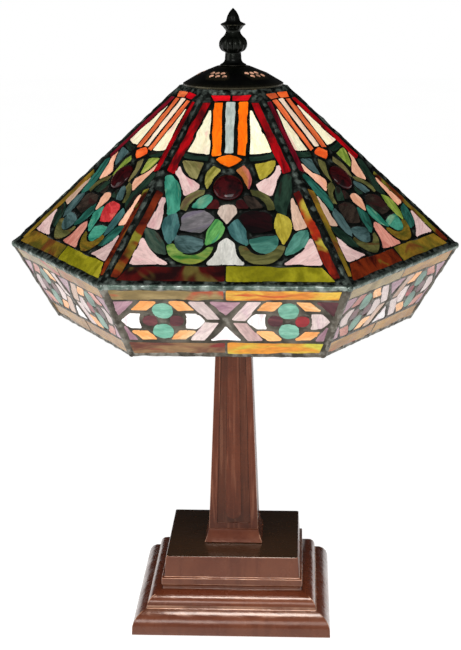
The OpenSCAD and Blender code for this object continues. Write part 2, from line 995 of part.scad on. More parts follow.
// Hole for a switch spindle, along +Y of the socket
module switch_hole(reach) {
    translate([0, spindle_in, switch_at])
        rotate([-90, 0, 0])
            cylinder(h = reach - spindle_in, r = spindle_r + fit_play);
}

module screw_shells() {
    color([0.75, 0.6, 0.3])
        both_sockets()
            tube(screw_start, screw_end, screw_r + screw_t, screw_r);
}

module bulb_glass(turn) {
    neck_r = bulb_base_r - 0.6;
    // The neck meets the round part where its slope is steepest
    join_angle = 128;
    join = [bulb_r * sin(join_angle), bulb_centre + bulb_r * cos(join_angle)];
    tip = bulb_centre + bulb_r;
    neck = side([neck_r, bulb_base_end], join, -1.6);
    cheek = [for (a = [join_angle:-8:8]) [bulb_r * sin(a), bulb_centre + bulb_r * cos(a)]];
    // The same curve, a wall's thickness further in
    in_r = bulb_r - bulb_t;
    in_join = [in_r * sin(join_angle), bulb_centre + in_r * cos(join_angle)];
    in_neck = side([neck_r - bulb_t, bulb_base_end + bulb_t], in_join, -1.6);
    in_cheek = [for (a = [join_angle:-8:8]) [in_r * sin(a), bulb_centre + in_r * cos(a)]];
    color([0.96, 0.95, 0.9])
        along_socket(turn)
            rotate_extrude()
                difference() {
                    polygon(concat([[0, bulb_base_end]], neck, cheek, [[0, tip]]));
                    polygon(concat(
                        [[0, bulb_base_end + bulb_t]], in_neck, in_cheek, [[0, tip - bulb_t]]
                    ));
                }
}

module bulb_left() {
    bulb_glass(180);
}

module bulb_right() {
    bulb_glass(0);
}

module bulb_base(turn) {
    color([0.75, 0.75, 0.76])
        along_socket(turn) {
            translate([0, 0, contact_start])
                cylinder(h = bulb_base_start - contact_start, r = contact_r);
            translate([0, 0, bulb_base_start])
                cylinder(h = bulb_base_end - bulb_base_start, r = bulb_base_r);
        }
}

module bulb_base_left() {
    bulb_base(180);
}

module bulb_base_right() {
    bulb_base(0);
}

// Turn switch: a spindle with a grooved knob
module switch_knob(turn) {
    groove_count = 12;
    color([0.1, 0.09, 0.08])
        along_socket(turn)
            translate([0, 0, switch_at])
                rotate([-90, 0, 0]) {
                    translate([0, 0, spindle_in + 0.3])
                        cylinder(h = knob_in - spindle_in - 0.3, r = spindle_r);
                    difference() {
                        translate([0, 0, knob_in])
                            cylinder(h = knob_len, r = knob_r);
                        for (k = [0:groove_count - 1])
                            rotate([0, 0, 360 / groove_count * k])
                                translate([knob_r + 0.4, 0, knob_in + 2])
                                    cylinder(h = knob_len, r = 0.8);
                    }
                }
}

module switch_knob_left() {
    switch_knob(180);
}

module switch_knob_right() {
    switch_knob(0);
}

module seat_ring() {
    color([0.6, 0.48, 0.24])
        tube(seat_top_z - seat_t, seat_top_z, seat_r, pipe_r + fit_play);
}

// Turned finial with a blind hole that screws onto the pipe
module finial() {
    tip = finial_tip_z;
    low = finial_low_z;
    bore_r = pipe_r + fit_play;
    bore_top = pipe_top_z + 1.5;
    color([0.07, 0.06, 0.05])
        rotate_extrude()
            polygon(outline([
                [bore_r, low], [11.2, low], [12, low + 1.7, -1.6], [7.3, low + 7.4, 0],
                [7, tip - 38.4, 1.9], [12.7, tip - 31.4, 1], [9, tip - 25, -0.3],
                [6.3, tip - 20.8, -0.5], [8.2, tip - 17.8, -0.6], [11.2, tip - 15, 0.4],
                [10.4, tip - 13.4, -0.5], [6.4, tip - 11.4, 1.3], [0, tip],
                [0, bore_top], [bore_r, bore_top]
            ]));
}

felt_pad();
bottom_plate();
base_casting();
ballast_block();
cord_bushing();
column_foot();
column();
column_cap();
lamp_pipe();
base_washer();
pipe_nuts();
cluster_body();
arm_nipples();
socket_caps();
socket_shells();
socket_cores();
screw_shells();
bulb_left();
bulb_right();
bulb_base_left();
bulb_base_right();
switch_knob_left();
switch_knob_right();
seat_ring();
finial();
vase_cap();
crown_ring();
crown_bead();
hip_ribs();
rim_bead();
band_ribs();
mouth_bead();
crown_leads();
band_leads();
top_panes();
ruby_bars();
border_bars();
rim_strips();
orange_bars();
centre_bars();
cream_panes();
crest_panes();
shoulder_panes();
jewels();
jewel_leaves();
pink_panes();
centre_panes();
tall_leaves();
side_leaves();
arching_leaves();
petals();
flower_leaves();
band_strips();
band_chevrons();
band_arrows();
band_oranges();
band_roundels();
band_rubies();
band_mauves();
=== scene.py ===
"""The looks of a six-sided stained glass table lamp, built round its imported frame.

Every glass pane follows the outline of its CAD solid and is rebuilt as rippled sheet
glass; the solder net between the panes is rebuilt as domed, uneven beads."""

import math

import bmesh
import bpy
import numpy as np
from mathutils import Matrix, Vector
from mathutils.geometry import delaunay_2d_cdt
from mathutils.kdtree import KDTree


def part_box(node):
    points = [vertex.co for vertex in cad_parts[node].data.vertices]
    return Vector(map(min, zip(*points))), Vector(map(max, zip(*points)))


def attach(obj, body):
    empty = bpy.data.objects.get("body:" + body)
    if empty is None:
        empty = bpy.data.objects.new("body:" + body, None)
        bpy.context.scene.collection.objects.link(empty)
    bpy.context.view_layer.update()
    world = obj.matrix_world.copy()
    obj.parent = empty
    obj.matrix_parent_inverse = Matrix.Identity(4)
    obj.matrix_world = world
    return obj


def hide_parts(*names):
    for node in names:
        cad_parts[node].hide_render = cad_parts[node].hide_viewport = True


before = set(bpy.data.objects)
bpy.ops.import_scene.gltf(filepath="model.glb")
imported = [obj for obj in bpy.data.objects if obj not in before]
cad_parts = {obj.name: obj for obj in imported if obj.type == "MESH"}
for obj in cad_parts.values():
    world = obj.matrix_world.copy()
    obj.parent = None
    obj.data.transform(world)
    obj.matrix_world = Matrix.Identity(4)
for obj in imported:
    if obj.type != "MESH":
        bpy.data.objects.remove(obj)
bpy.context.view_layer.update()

MM = 0.001
SIDES = 6
FLAT = math.cos(math.pi / SIDES)
SEED = 7
SQUARE = np.array([(-1, -1), (1, -1), (1, 1), (-1, 1)])


# --- Small helpers ---

def tint(red, green, blue):
    """A linear colour from display values of 0 to 255."""
    def linear(value):
        value /= 255
        return value / 12.92 if value <= 0.04045 else ((value + 0.055) / 1.055) ** 2.4
    return (linear(red), linear(green), linear(blue), 1.0)


class Waves:
    """A smooth random field of unit size: waves of about one length from all directions."""

    def __init__(self, rng, length, dims=2, count=10):
        way = rng.normal(size=(count, dims))
        way /= np.linalg.norm(way, axis=1, keepdims=True)
        self.way = way * math.tau / (length * rng.uniform(0.65, 1.6, (count, 1)))
        self.phase = rng.uniform(0, math.tau, count)

    def __call__(self, points):
        total = np.cos(points @ self.way.T + self.phase).sum(axis=1)
        return total * math.sqrt(2 / len(self.phase))


def in_scene(name, data):
    thing = bpy.data.objects.new(name, data)
    bpy.context.scene.collection.objects.link(thing)
    return thing


def smooth_piece(name, mesh, material, smooth_angle):
    """A piece of one material, smooth but where its faces turn by more than the angle."""
    mesh.polygons.foreach_set("use_smooth", [True] * len(mesh.polygons))
    mesh.set_sharp_from_angle(angle=math.radians(smooth_angle))
    mesh.materials.append(material)
    return in_scene(name, mesh)


def new_piece(name, points, faces, material, smooth_angle):
    mesh = bpy.data.meshes.new(name)
    mesh.from_pydata([tuple(p) for p in points], [], [tuple(int(i) for i in f) for f in faces])
    mesh.validate()
    return smooth_piece(name, mesh, material, smooth_angle)


def set_attribute(piece, name, kind, values):
    """Stores one value per vertex: a FLOAT, a FLOAT_VECTOR or a FLOAT_COLOR."""
    field = {"FLOAT": "value", "FLOAT_VECTOR": "vector", "FLOAT_COLOR": "color"}[kind]
    layer = piece.data.attributes.new(name, kind, "POINT")
    layer.data.foreach_set(field, np.asarray(values, np.float32).ravel())


def place(piece, body, node):
    """Has a piece stand for a CAD node: puts it on its body and hides the node."""
    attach(piece, body)
    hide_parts(node)


def circle(turns):
    angles = np.arange(turns) / turns * math.tau
    return np.column_stack([np.cos(angles), np.sin(angles)])


def moved(matrix, points):
    m = np.array(matrix)
    return points @ m[:3, :3].T + m[:3, 3]


# --- The shade's panels ---

def ring(node):
    """Corner radius and height of a six-sided bead, from its box."""
    low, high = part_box(node)
    reach = (high.z - low.z) / 2
    return high.x - reach, (high.z + low.z) / 2


def panel_frame(low_ring, high_ring, k):
    """From a panel's own plane (x right, y up the slope, z outwards) to the lamp."""
    foot = Vector((0, -low_ring[0] * FLAT, low_ring[1]))
    head = Vector((0, -high_ring[0] * FLAT, high_ring[1]))
    up = (head - foot).normalized()
    right = Vector((1, 0, 0))
    matrix = Matrix((right, up, right.cross(up))).transposed().to_4x4()
    matrix.translation = foot
    return Matrix.Rotation(k * math.tau / SIDES, 4, "Z") @ matrix


class Family:
    """The six like panels between two rings of the shade."""

    def __init__(self, low_ring, high_ring, seed):
        self.frames = [panel_frame(low_ring, high_ring, k) for k in range(SIDES)]
        self.low_half = low_ring[0] / 2
        self.high_half = high_ring[0] / 2
        self.slant = math.hypot((low_ring[0] - high_ring[0]) * FLAT, high_ring[1] - low_ring[1])
        rng = np.random.default_rng(seed)
        # Each panel's outlines wander a little, as hand-cut glass does
        self.wander = [(Waves(rng, 30 * MM), Waves(rng, 30 * MM)) for _ in range(SIDES)]
        self.loops = []

    def on_panel(self, k, xy, z, wander=0.17 * MM):
        """Where points of the drawing fall on panel k, at a height over its plane."""
        xy = xy + wander * np.stack([wave(xy) for wave in self.wander[k]], axis=1)
        return moved(self.frames[k], np.column_stack([xy, z]))

    def edge(self, inset, low, high):
        """The panel's outline, inset from its sides and ended at y = low and high."""
        lean = (self.low_half - self.high_half) / self.slant
        low_x, high_x = (self.low_half - y * lean - inset for y in (low, high))
        return np.array([(-low_x, low), (low_x, low), (high_x, high), (-high_x, high)])


CROWN_RING, RIM_RING, MOUTH_RING = (ring(n) for n in ("crown_bead", "rim_bead", "mouth_bead"))
FAMILIES = {
    "crown": Family(RIM_RING, CROWN_RING, SEED),
    "band": Family(MOUTH_RING, RIM_RING, SEED + 1),
}


# --- Outlines ---

def solids(node):
    """A CAD node's separate solids, each as its points and triangles."""
    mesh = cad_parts[node].data
    corners = np.array([v.co for v in mesh.vertices])
    points, where = np.unique(np.round(corners, 6), axis=0, return_inverse=True)
    where = where.ravel()
    faces = [[where[i] for i in p.vertices] for p in mesh.polygons]
    group = list(range(len(points)))

    def find(i):
        while group[i] != i:
            group[i] = group[group[i]]
            i = group[i]
        return i

    for face in faces:
        for i in face[1:]:
            group[find(i)] = find(face[0])
    parts = {}
    for face in faces:
        parts.setdefault(find(face[0]), []).append(face)
    return [(points, part) for part in parts.values()]


def used_points(points, faces):
    return points[sorted({i for face in faces for i in face})]


def outer_loop(points, faces):
    """The outline of a pane's outer face in its panel, anticlockwise."""
    top = used_points(points, faces)[:, 2].max() - 0.2 * MM
    edges = {
        (face[i], face[(i + 1) % len(face)])
        for face in faces if all(points[j, 2] > top for j in face)
        for i in range(len(face))
    }
    after = {a: b for a, b in edges if (b, a) not in edges}
    loop = [min(after)]
    while after[loop[-1]] != loop[0]:
        loop.append(after[loop[-1]])
    return points[loop][:, :2]


def front_outlines(node, family):
    """The outlines of a node's panes on the front panel, from the top down and then
    outwards from the centre line."""
    inverse = family.frames[0].inverted()
    found = []
    for points, faces in solids(node):
        centre = used_points(points, faces).mean(axis=0)
        turn = math.atan2(centre[1], centre[0]) + math.pi / 2
        if round(turn / (math.tau / SIDES)) % SIDES == 0:
            found.append(outer_loop(moved(inverse, points), faces))
    return sorted(found, key=lambda p: (-round(p[:, 1].mean() / (3 * MM)), abs(p[:, 0].mean())))


def softened_corner(before, corner, after, radius):
    """Three points that round one corner of an outline."""
    into, out = before - corner, after - corner
    a = corner + into / np.linalg.norm(into) * min(radius, np.linalg.norm(into) / 3)
    b = corner + out / np.linalg.norm(out) * min(radius, np.linalg.norm(out) / 3)
    return [a, (a + 2 * corner + b) / 4, b]


def smooth_outline(points, step=1.3 * MM, corner_turn=32, radius=0.9 * MM):
    """A closed outline whose shallow turns are a curve and whose corners are rounded."""
    count = len(points)
    ways = np.roll(points, -1, axis=0) - points
    angles = np.arctan2(ways[:, 1], ways[:, 0])
    turns = np.degrees(np.abs((angles - np.roll(angles, 1) + math.pi) % math.tau - math.pi))
    is_corner = turns > corner_turn
    curve = []
    for i in range(count):
        p0, p1, p2, p3 = (points[(i + j) % count] for j in (-1, 0, 1, 2))
        p0 = 2 * p1 - p2 if is_corner[i] else p0
        p3 = 2 * p2 - p1 if is_corner[(i + 1) % count] else p3
        steps = max(1, round(np.linalg.norm(p2 - p1) / step))
        for t in np.arange(steps) / steps:
            weights = (
                t * (-1 + t * (2 - t)), 2 + t * t * (3 * t - 5),
                t * (1 + t * (4 - 3 * t)), t * t * (t - 1),
            )
            point = sum(w * p for w, p in zip(weights, (p0, p1, p2, p3))) / 2
            curve.append((point, t == 0 and is_corner[i]))
    rounded = []
    for i, (point, corner) in enumerate(curve):
        if corner:
            rounded += softened_corner(curve[i - 1][0], point, curve[(i + 1) % len(curve)][0], radius)
        else:
            rounded.append(point)
    return np.array(rounded)


def grown(loop, by):
    """An anticlockwise outline moved outwards."""
    way = np.roll(loop, -1, axis=0) - np.roll(loop, 1, axis=0)
    way /= np.linalg.norm(way, axis=1, keepdims=True)
    return loop + by * np.stack([way[:, 1], -way[:, 0]], axis=1)


def divided(loop, step):
    """The outline with points added along its long sides."""
    points = []
    for a, b in zip(loop, np.roll(loop, -1, axis=0)):
        steps = max(1, round(np.linalg.norm(b - a) / step))
        points += [a + (b - a) * i / steps for i in range(steps)]
    return np.array(points)


def inside(points, loop):
    """Which points lie inside an outline."""
    x, y = points[:, :1], points[:, 1:]
    x0, y0 = loop[:, 0], loop[:, 1]
    x1, y1 = np.roll(x0, -1), np.roll(y0, -1)
    rise = np.where(y1 == y0, 1e-12, y1 - y0)
    crosses = ((y0 > y) != (y1 > y)) & (x < x0 + (y - y0) * (x1 - x0) / rise)
    return crosses.sum(axis=1) % 2 == 1


def tree_of(points):
    tree = KDTree(len(points))
    for i, (x, y) in enumerate(points):
        tree.insert((x, y, 0), i)
    tree.balance()
    return tree


def gaps(points, tree):
    return np.array([tree.find((x, y, 0))[2] for x, y in points])


def triangulated(outer, holes, spacing):
    """Points and triangles that fill an outline around its holes."""
    low, high = outer.min(axis=0), outer.max(axis=0)
    row = spacing * math.sqrt(3) / 2
    grid = np.array([
        (x + (j % 2) * spacing / 2, y)
        for j, y in enumerate(np.arange(low[1] + row / 2, high[1], row))
        for x in np.arange(low[0] + spacing / 3, high[0], spacing)
    ]).reshape(-1, 2)
    if len(grid):
        grid = grid[inside(grid, outer)]
    for hole in holes:
        grid = grid[~inside(grid, hole)]
    border = np.concatenate([outer, *holes])
    if len(grid):
        grid = grid[gaps(grid, tree_of(border)) > 0.55 * spacing]
    loops = []
    start = 0
    for loop in [outer, *holes]:
        loops.append(list(range(start, start + len(loop))))
        start += len(loop)
    points = np.concatenate([border, grid])
    made = delaunay_2d_cdt([Vector(p) for p in points / MM], [], loops, 1, 1e-5)
    corners = np.array([tuple(p) for p in made[0]]) * MM
    faces = [f for f, owners in zip(made[2], made[5]) if list(owners) == [0]]
    return corners, np.array([list(f) for f in faces])


def tube_faces(rings, sides, start=0):
    """Faces of a closed tube. Its points are rings of points, then the middles of its
    first and last ring."""
    faces = []
    last, middles = (rings - 1) * sides, rings * sides
    for i in range(sides):
        j = (i + 1) % sides
        for row in range(0, last, sides):
            faces.append((row + i, row + j, row + sides + j, row + sides + i))
        faces += [(j, i, middles), (last + i, last + j, middles + 1)]
    return [tuple(start + corner for corner in face) for face in faces]


def plate(faces, count):
    """Faces of a closed plate whose front has the given faces and whose back is the
    same, count points further on."""
    edges = {(int(f[i]), int(f[(i + 1) % 3])) for f in faces for i in range(3)}
    walls = [(a, a + count, b + count, b) for a, b in sorted(edges) if (b, a) not in edges]
    return [tuple(f) for f in faces] + [tuple(f[::-1] + count) for f in faces] + walls


# --- Materials ---

class Nodes:
    """The node tree of a material or of the world, with short ways to add and join nodes."""

    def __init__(self, owner, shader="Principled BSDF"):
        owner.use_nodes = True
        self.owner = owner
        self.tree = owner.node_tree
        self.shader = self.tree.nodes[shader]

    def add(self, kind, inputs=None, **settings):
        node = self.tree.nodes.new("ShaderNode" + kind)
        for key, value in settings.items():
            setattr(node, key, value)
        for key, value in (inputs or {}).items():
            self.feed(node.inputs[key], value)
        return node

    def feed(self, socket, value):
        if isinstance(value, bpy.types.NodeSocket):
            self.tree.links.new(value, socket)
        else:
            socket.default_value = value

    def shade(self, **values):
        for key, value in values.items():
            name = key.replace("_", " ").title().replace("Ior", "IOR")
            self.feed(self.shader.inputs[name], value)

    def position(self):
        return self.add("TexCoord").outputs["Object"]

    def part(self, vector, axis):
        return self.add("SeparateXYZ", {0: vector}).outputs[axis]

    def upward(self):
        return self.part(self.add("NewGeometry").outputs["Normal"], "Z")

    def attribute(self, name, output="Color"):
        return self.add("Attribute", attribute_name=name).outputs[output]

    def noise(self, scale, detail=3.0, vector=None, roughness=0.5, distortion=0.0):
        node = self.add("TexNoise", {
            "Vector": vector or self.position(), "Scale": scale, "Detail": detail,
            "Roughness": roughness, "Distortion": distortion,
        })
        return node.outputs["Fac"]

    def spread(self, value, low, high, to_low=0.0, to_high=1.0):
        node = self.add("MapRange", {
            "Value": value, "From Min": low, "From Max": high,
            "To Min": to_low, "To Max": to_high,
        }, interpolation_type="SMOOTHSTEP")
        return node.outputs["Result"]

    def mix(self, factor, first, second, blend="MIX"):
        node = self.add("Mix", data_type="RGBA", blend_type=blend)
        self.feed(node.inputs["Factor"], factor)
        self.feed(node.inputs[6], first)
        self.feed(node.inputs[7], second)
        return node.outputs[2]

    def math(self, operation, *values):
        return self.add("Math", dict(enumerate(values)), operation=operation).outputs[0]

    def bump(self, height, strength, distance, under=None):
        inputs = {"Height": height, "Strength": strength, "Distance": distance}
        if under is not None:
            inputs["Normal"] = under
        return self.add("Bump", inputs).outputs["Normal"]


def material_nodes(name):
    return Nodes(bpy.data.materials.new(name))


def glass_material(name, wisp, glow, rough, cloud=(0.35, 0.65), accent=(0.6, 0.72)):
    """Hand-rolled sheet glass that glows as if lit through. Each pane carries its three
    tones, in wisps that follow its grain."""
    nodes = material_nodes(name)
    grain = nodes.attribute("grain", "Vector")
    wisps = nodes.noise(wisp, 4, grain, 0.55, 0.9)
    drifts = nodes.noise(wisp * 0.55, 2, nodes.add("VectorMath", {
        0: grain, 1: (17.0, 5.0, 2.0)}, operation="ADD").outputs[0], 0.5, 1.6)
    fine = nodes.noise(wisp * 6, 3, grain, 0.6, 0.4)
    colour = nodes.mix(nodes.spread(wisps, *cloud), nodes.attribute("tone_a"), nodes.attribute("tone_b"))
    colour = nodes.mix(nodes.spread(drifts, *accent), colour, nodes.attribute("tone_c"))
    shade = nodes.add("CombineColor", {i: nodes.spread(fine, 0.25, 0.75, 0.8, 1.12) for i in range(3)})
    colour = nodes.mix(1.0, colour, shade.outputs[0], "MULTIPLY")
    ripple = nodes.bump(nodes.noise(90.0, 3), 0.22, 0.0012)
    nodes.shade(
        base_color=colour, emission_color=colour, emission_strength=glow,
        roughness=nodes.spread(fine, 0.2, 0.8, rough, rough + 0.12), specular_ior_level=0.28,
        normal=nodes.bump(nodes.noise(520.0, 2), 0.08, 0.0004, ripple),
    )
    return nodes.owner


def solder_material(name, low, high, ridge):
    """Patinated solder: dark in the hollows, lighter along its ridges from wear and a painted highlight."""
    nodes = material_nodes(name)
    blotch = nodes.noise(70.0, 4)
    colour = nodes.mix(nodes.spread(blotch, 0.35, 0.68), low, high)
    # Lighter where the ridge mark is high: wear and a painted highlight
    lighter_where_raised = nodes.math("MULTIPLY", nodes.attribute("ridge", "Fac"),
                        nodes.spread(nodes.noise(160.0, 3), 0.42, 0.66))
    colour = nodes.mix(lighter_where_raised, colour, ridge)
    waves = nodes.bump(nodes.noise(240.0, 2), 0.35, 0.0008)
    nodes.shade(
        base_color=colour, metallic=0.8,
        roughness=nodes.spread(nodes.noise(330.0, 3), 0.3, 0.7, 0.28, 0.55),
        normal=nodes.bump(nodes.noise(1400.0, 2), 0.2, 0.0002, waves),
    )
    return nodes.owner


def cast_brown(name, low, high, grain, streak, pale, coat):
    """Glossy oxblood-brown lacquer over a hand-finished casting: lighter along its
    edges, from wear and a painted highlight; painted shade in its hollows, darker and
    redder on faces that turn upwards, and nearly black on its top. Its dark and pale
    streaks follow the grain, a scale for each of x, y and z; where used, the pale ones
    also stand for a painted reflection."""
    nodes = material_nodes(name)
    clouds = nodes.noise(16.0, 4, roughness=0.6)
    colour = nodes.mix(nodes.spread(clouds, 0.3, 0.7), low, high)
    grained = nodes.add("Mapping", {"Vector": nodes.position(), "Scale": grain}).outputs[0]
    streaks = nodes.noise(1.0, 4, grained, 0.6, 0.6)
    colour = nodes.mix(nodes.spread(streaks, 0.45, 0.75, 0.0, 0.6), colour, streak)
    # Pale streaks along the grain, which also stand for a painted reflection
    colour = nodes.mix(nodes.spread(streaks, 0.48, 0.36, 0.0, pale), colour, tint(142, 94, 72))
    # Painted shade: darker and redder on faces that turn upwards
    colour = nodes.mix(nodes.spread(nodes.upward(), 0.6, 0.9, 0.0, 0.8), colour, tint(72, 30, 14))
    # Painted shade: nearly black on the base's top, darker in the column's sunk panels
    colour = nodes.mix(nodes.attribute("painted_shade", "Fac"), colour, tint(28, 20, 9))
    edge_wear_and_shade = nodes.attribute("edge_wear_and_shade", "Fac")
    # Painted shade along the hollow edges
    colour = nodes.mix(nodes.spread(edge_wear_and_shade, -0.2, -0.9, 0.0, 0.8), colour, tint(44, 18, 10))
    patches = nodes.spread(nodes.noise(45.0, 3), 0.35, 0.6, 0.25, 1.0)
    # Lighter along the ridges, in patches: wear and a painted highlight
    edges = nodes.math("MULTIPLY", nodes.spread(edge_wear_and_shade, 0.2, 0.9, 0.0, 0.9), patches)
    colour = nodes.mix(edges, colour, tint(196, 150, 122))
    waves = nodes.bump(nodes.noise(38.0, 3), 0.4, 0.005)
    nodes.shade(
        base_color=colour,
        roughness=nodes.spread(nodes.noise(55.0, 3), 0.25, 0.75, 0.2, 0.34),
        coat_weight=coat, coat_roughness=0.14, specular_ior_level=0.3,
        specular_tint=tint(255, 214, 190),
        normal=nodes.bump(nodes.noise(700.0, 2), 0.06, 0.0004, waves),
    )
    return nodes.owner


def metal(name, low, high, scale=60.0, metallic=1.0, rough=(0.25, 0.45), bump=0.12):
    """A metal, cloudy between two colours."""
    nodes = material_nodes(name)
    cloud = nodes.noise(scale, 4)
    nodes.shade(
        base_color=nodes.mix(nodes.spread(cloud, 0.35, 0.65), low, high), metallic=metallic,
        roughness=nodes.spread(nodes.noise(scale * 3, 3), 0.3, 0.7, *rough),
        normal=nodes.bump(nodes.noise(scale * 8, 3), bump, 0.0006),
    )
    return nodes.owner


def black_bronze(name="black_bronze", vents=False):
    """Near-black bronze with green in its hollows. The walls of the cap's vents, which
    face sideways inside its rim, catch the light from below."""
    nodes = material_nodes(name)
    colour = nodes.mix(nodes.spread(nodes.noise(75.0, 4), 0.35, 0.68), tint(6, 7, 5), tint(18, 22, 15))
    lighter_where_raised = nodes.spread(nodes.add("NewGeometry").outputs["Pointiness"], 0.52, 0.6, 0.0, 0.6)
    colour = nodes.mix(lighter_where_raised, colour, tint(80, 74, 52))
    if vents:
        spot = nodes.position()
        flat = nodes.add("CombineXYZ", {0: nodes.part(spot, "X"), 1: nodes.part(spot, "Y")})
        reach = nodes.add("VectorMath", {0: flat.outputs[0]}, operation="LENGTH").outputs["Value"]
        sideways = nodes.math("COMPARE", nodes.upward(), 0.0, 0.2)
        at_vents = nodes.math("COMPARE", reach, 0.027, 0.009)
        lit = nodes.math("MULTIPLY", sideways, at_vents)
        uneven = nodes.spread(nodes.noise(150.0, 2), 0.3, 0.7, 0.25, 0.9)
        # A painted glow on the vent walls, standing for the light of the bulbs below
        glow = nodes.mix(nodes.math("MULTIPLY", lit, uneven), (0, 0, 0, 1), tint(236, 176, 146))
        nodes.shade(emission_color=glow, emission_strength=1.0)
    nodes.shade(
        base_color=colour, metallic=0.7,
        roughness=nodes.spread(nodes.noise(260.0, 3), 0.3, 0.7, 0.18, 0.38),
        normal=nodes.bump(nodes.noise(420.0, 3), 0.18, 0.0006),
    )
    return nodes.owner


def felt():
    nodes = material_nodes("green_felt")
    fibres = nodes.noise(1500.0, 5, roughness=0.7, distortion=1.5)
    nodes.shade(
        base_color=nodes.mix(nodes.spread(fibres, 0.3, 0.7), tint(22, 44, 32), tint(48, 82, 62)),
        roughness=0.95, sheen_weight=0.4,
        normal=nodes.bump(fibres, 0.6, 0.0006),
    )
    return nodes.owner


def plastic(name, low, high, rough=(0.35, 0.55), scale=90.0):
    nodes = material_nodes(name)
    nodes.shade(
        base_color=nodes.mix(nodes.spread(nodes.noise(scale, 4), 0.35, 0.65), low, high),
        roughness=nodes.spread(nodes.noise(scale * 4, 3), 0.3, 0.7, *rough),
        normal=nodes.bump(nodes.noise(scale * 10, 2), 0.15, 0.0003),
    )
    return nodes.owner


def bulb_glass():
    """Soft white glass, lit from within."""
    nodes = material_nodes("bulb_white")
    cloud = nodes.spread(nodes.noise(45.0, 3), 0.3, 0.7)
    colour = nodes.mix(cloud, tint(236, 214, 176), tint(246, 234, 210))
    nodes.shade(
        base_color=colour, emission_color=colour, emission_strength=0.5,
        roughness=nodes.spread(nodes.noise(300.0, 2), 0.3, 0.7, 0.12, 0.2),
        normal=nodes.bump(nodes.noise(600.0, 2), 0.05, 0.0002),
    )
    return nodes.owner


# --- Glass ---

# Three tones of each kind of glass: the body, its wisps and its odd streaks
TONES = {
    "scarlet": ((170, 0, 18), (226, 8, 24), (250, 60, 40)),
    "ruby": ((70, 0, 5), (180, 2, 13), (112, 0, 12)),
    "wine_ruby": ((70, 4, 16), (128, 12, 34), (96, 20, 30)),
    "amber": ((236, 98, 4), (250, 122, 10), (250, 150, 50)),
    "coral": ((206, 84, 44), (246, 124, 70), (255, 158, 104)),
    "flame": ((236, 84, 30), (255, 116, 52), (255, 150, 90)),
    "dove": ((150, 162, 156), (188, 196, 188), (206, 210, 202)),
    "shell": ((238, 206, 180), (255, 238, 214), (246, 196, 166)),
    "cream": ((255, 240, 198), (255, 252, 220), (246, 208, 188)),
    "pink": ((200, 166, 162), (222, 190, 184), (208, 156, 158)),
    "peach": ((226, 158, 124), (248, 192, 162), (236, 170, 150)),
    "tan": ((190, 154, 132), (212, 180, 158), (196, 138, 128)),
    "haze": ((190, 168, 154), (212, 194, 180), (172, 148, 138)),
    "pearl": ((192, 190, 182), (214, 212, 204), (178, 180, 172)),
    "rosy": ((188, 112, 98), (216, 150, 132), (172, 96, 92)),
    "teal": ((34, 112, 92), (76, 160, 134), (128, 176, 140)),
    "deep_teal": ((22, 70, 60), (48, 112, 98), (26, 60, 50)),
    "blue_teal": ((44, 84, 84), (78, 122, 120), (52, 108, 96)),
    "sea": ((46, 100, 88), (88, 146, 130), (58, 118, 100)),
    "smoke_teal": ((52, 76, 76), (84, 112, 112), (40, 62, 60)),
    "fern": ((44, 124, 62), (112, 178, 96), (64, 150, 112)),
    "grass": ((52, 108, 40), (134, 158, 78), (150, 150, 60)),
    "moss": ((96, 92, 50), (146, 138, 88), (120, 104, 64)),
    "lime": ((104, 132, 44), (158, 178, 76), (190, 190, 96)),
    "lemon": ((120, 116, 42), (170, 162, 78), (98, 92, 38)),
    "olive": ((66, 68, 34), (112, 110, 62), (92, 64, 34)),
    "night": ((14, 36, 26), (38, 62, 48), (30, 24, 20)),
    "umber": ((30, 24, 20), (62, 50, 42), (50, 26, 24)),
    "mulberry": ((96, 94, 96), (132, 126, 130), (112, 104, 118)),
    "black_ruby": ((5, 1, 2), (30, 3, 6), (12, 3, 4)),
    "cherry": ((186, 40, 44), (228, 72, 74), (240, 104, 92)),
    "rose_amber": ((176, 108, 52), (206, 116, 104), (142, 62, 70)),
    "fire": ((50, 6, 3), (116, 40, 12), (120, 116, 36)),
    "blaze": ((70, 8, 4), (160, 40, 16), (180, 164, 60)),
    "oxblood": ((28, 2, 3), (74, 8, 6), (96, 84, 38)),
    "mustard": ((112, 108, 8), (146, 140, 24), (168, 158, 40)),
    "moor": ((84, 78, 22), (136, 106, 30), (104, 58, 24)),
    "sand": ((132, 112, 70), (164, 142, 96), (172, 74, 50)),
    "sunset": ((212, 130, 50), (226, 184, 72), (200, 84, 40)),
    "brick": ((104, 56, 44), (146, 112, 76), (130, 48, 42)),
    "harvest": ((214, 138, 48), (192, 186, 66), (222, 96, 44)),
    "slate": ((40, 62, 52), (68, 84, 70), (60, 48, 42)),
    "reed": ((80, 82, 46), (124, 120, 74), (94, 78, 54)),
    "garnet": ((44, 8, 12), (80, 20, 22), (56, 28, 26)),
    "citron": ((162, 146, 44), (198, 182, 68), (146, 128, 40)),
    "honey": ((146, 100, 38), (176, 132, 62), (168, 82, 40)),
    "celadon": ((74, 112, 96), (108, 150, 130), (70, 92, 80)),
    "jewel": ((26, 2, 4), (58, 6, 10), (14, 2, 3)),
    "snow": ((248, 242, 240), (255, 252, 250), (246, 220, 224)),
    "blush": ((206, 184, 180), (230, 212, 206), (206, 176, 182)),
    "apricot": ((242, 162, 92), (255, 192, 130), (255, 216, 164)),
    "aqua": ((108, 172, 148), (150, 206, 182), (92, 152, 132)),
    "claret": ((78, 40, 46), (112, 62, 64), (64, 22, 32)),
    "cranberry": ((116, 26, 34), (170, 50, 54), (84, 14, 24)),
    "mauve": ((154, 114, 128), (188, 150, 160), (144, 106, 124)),
}

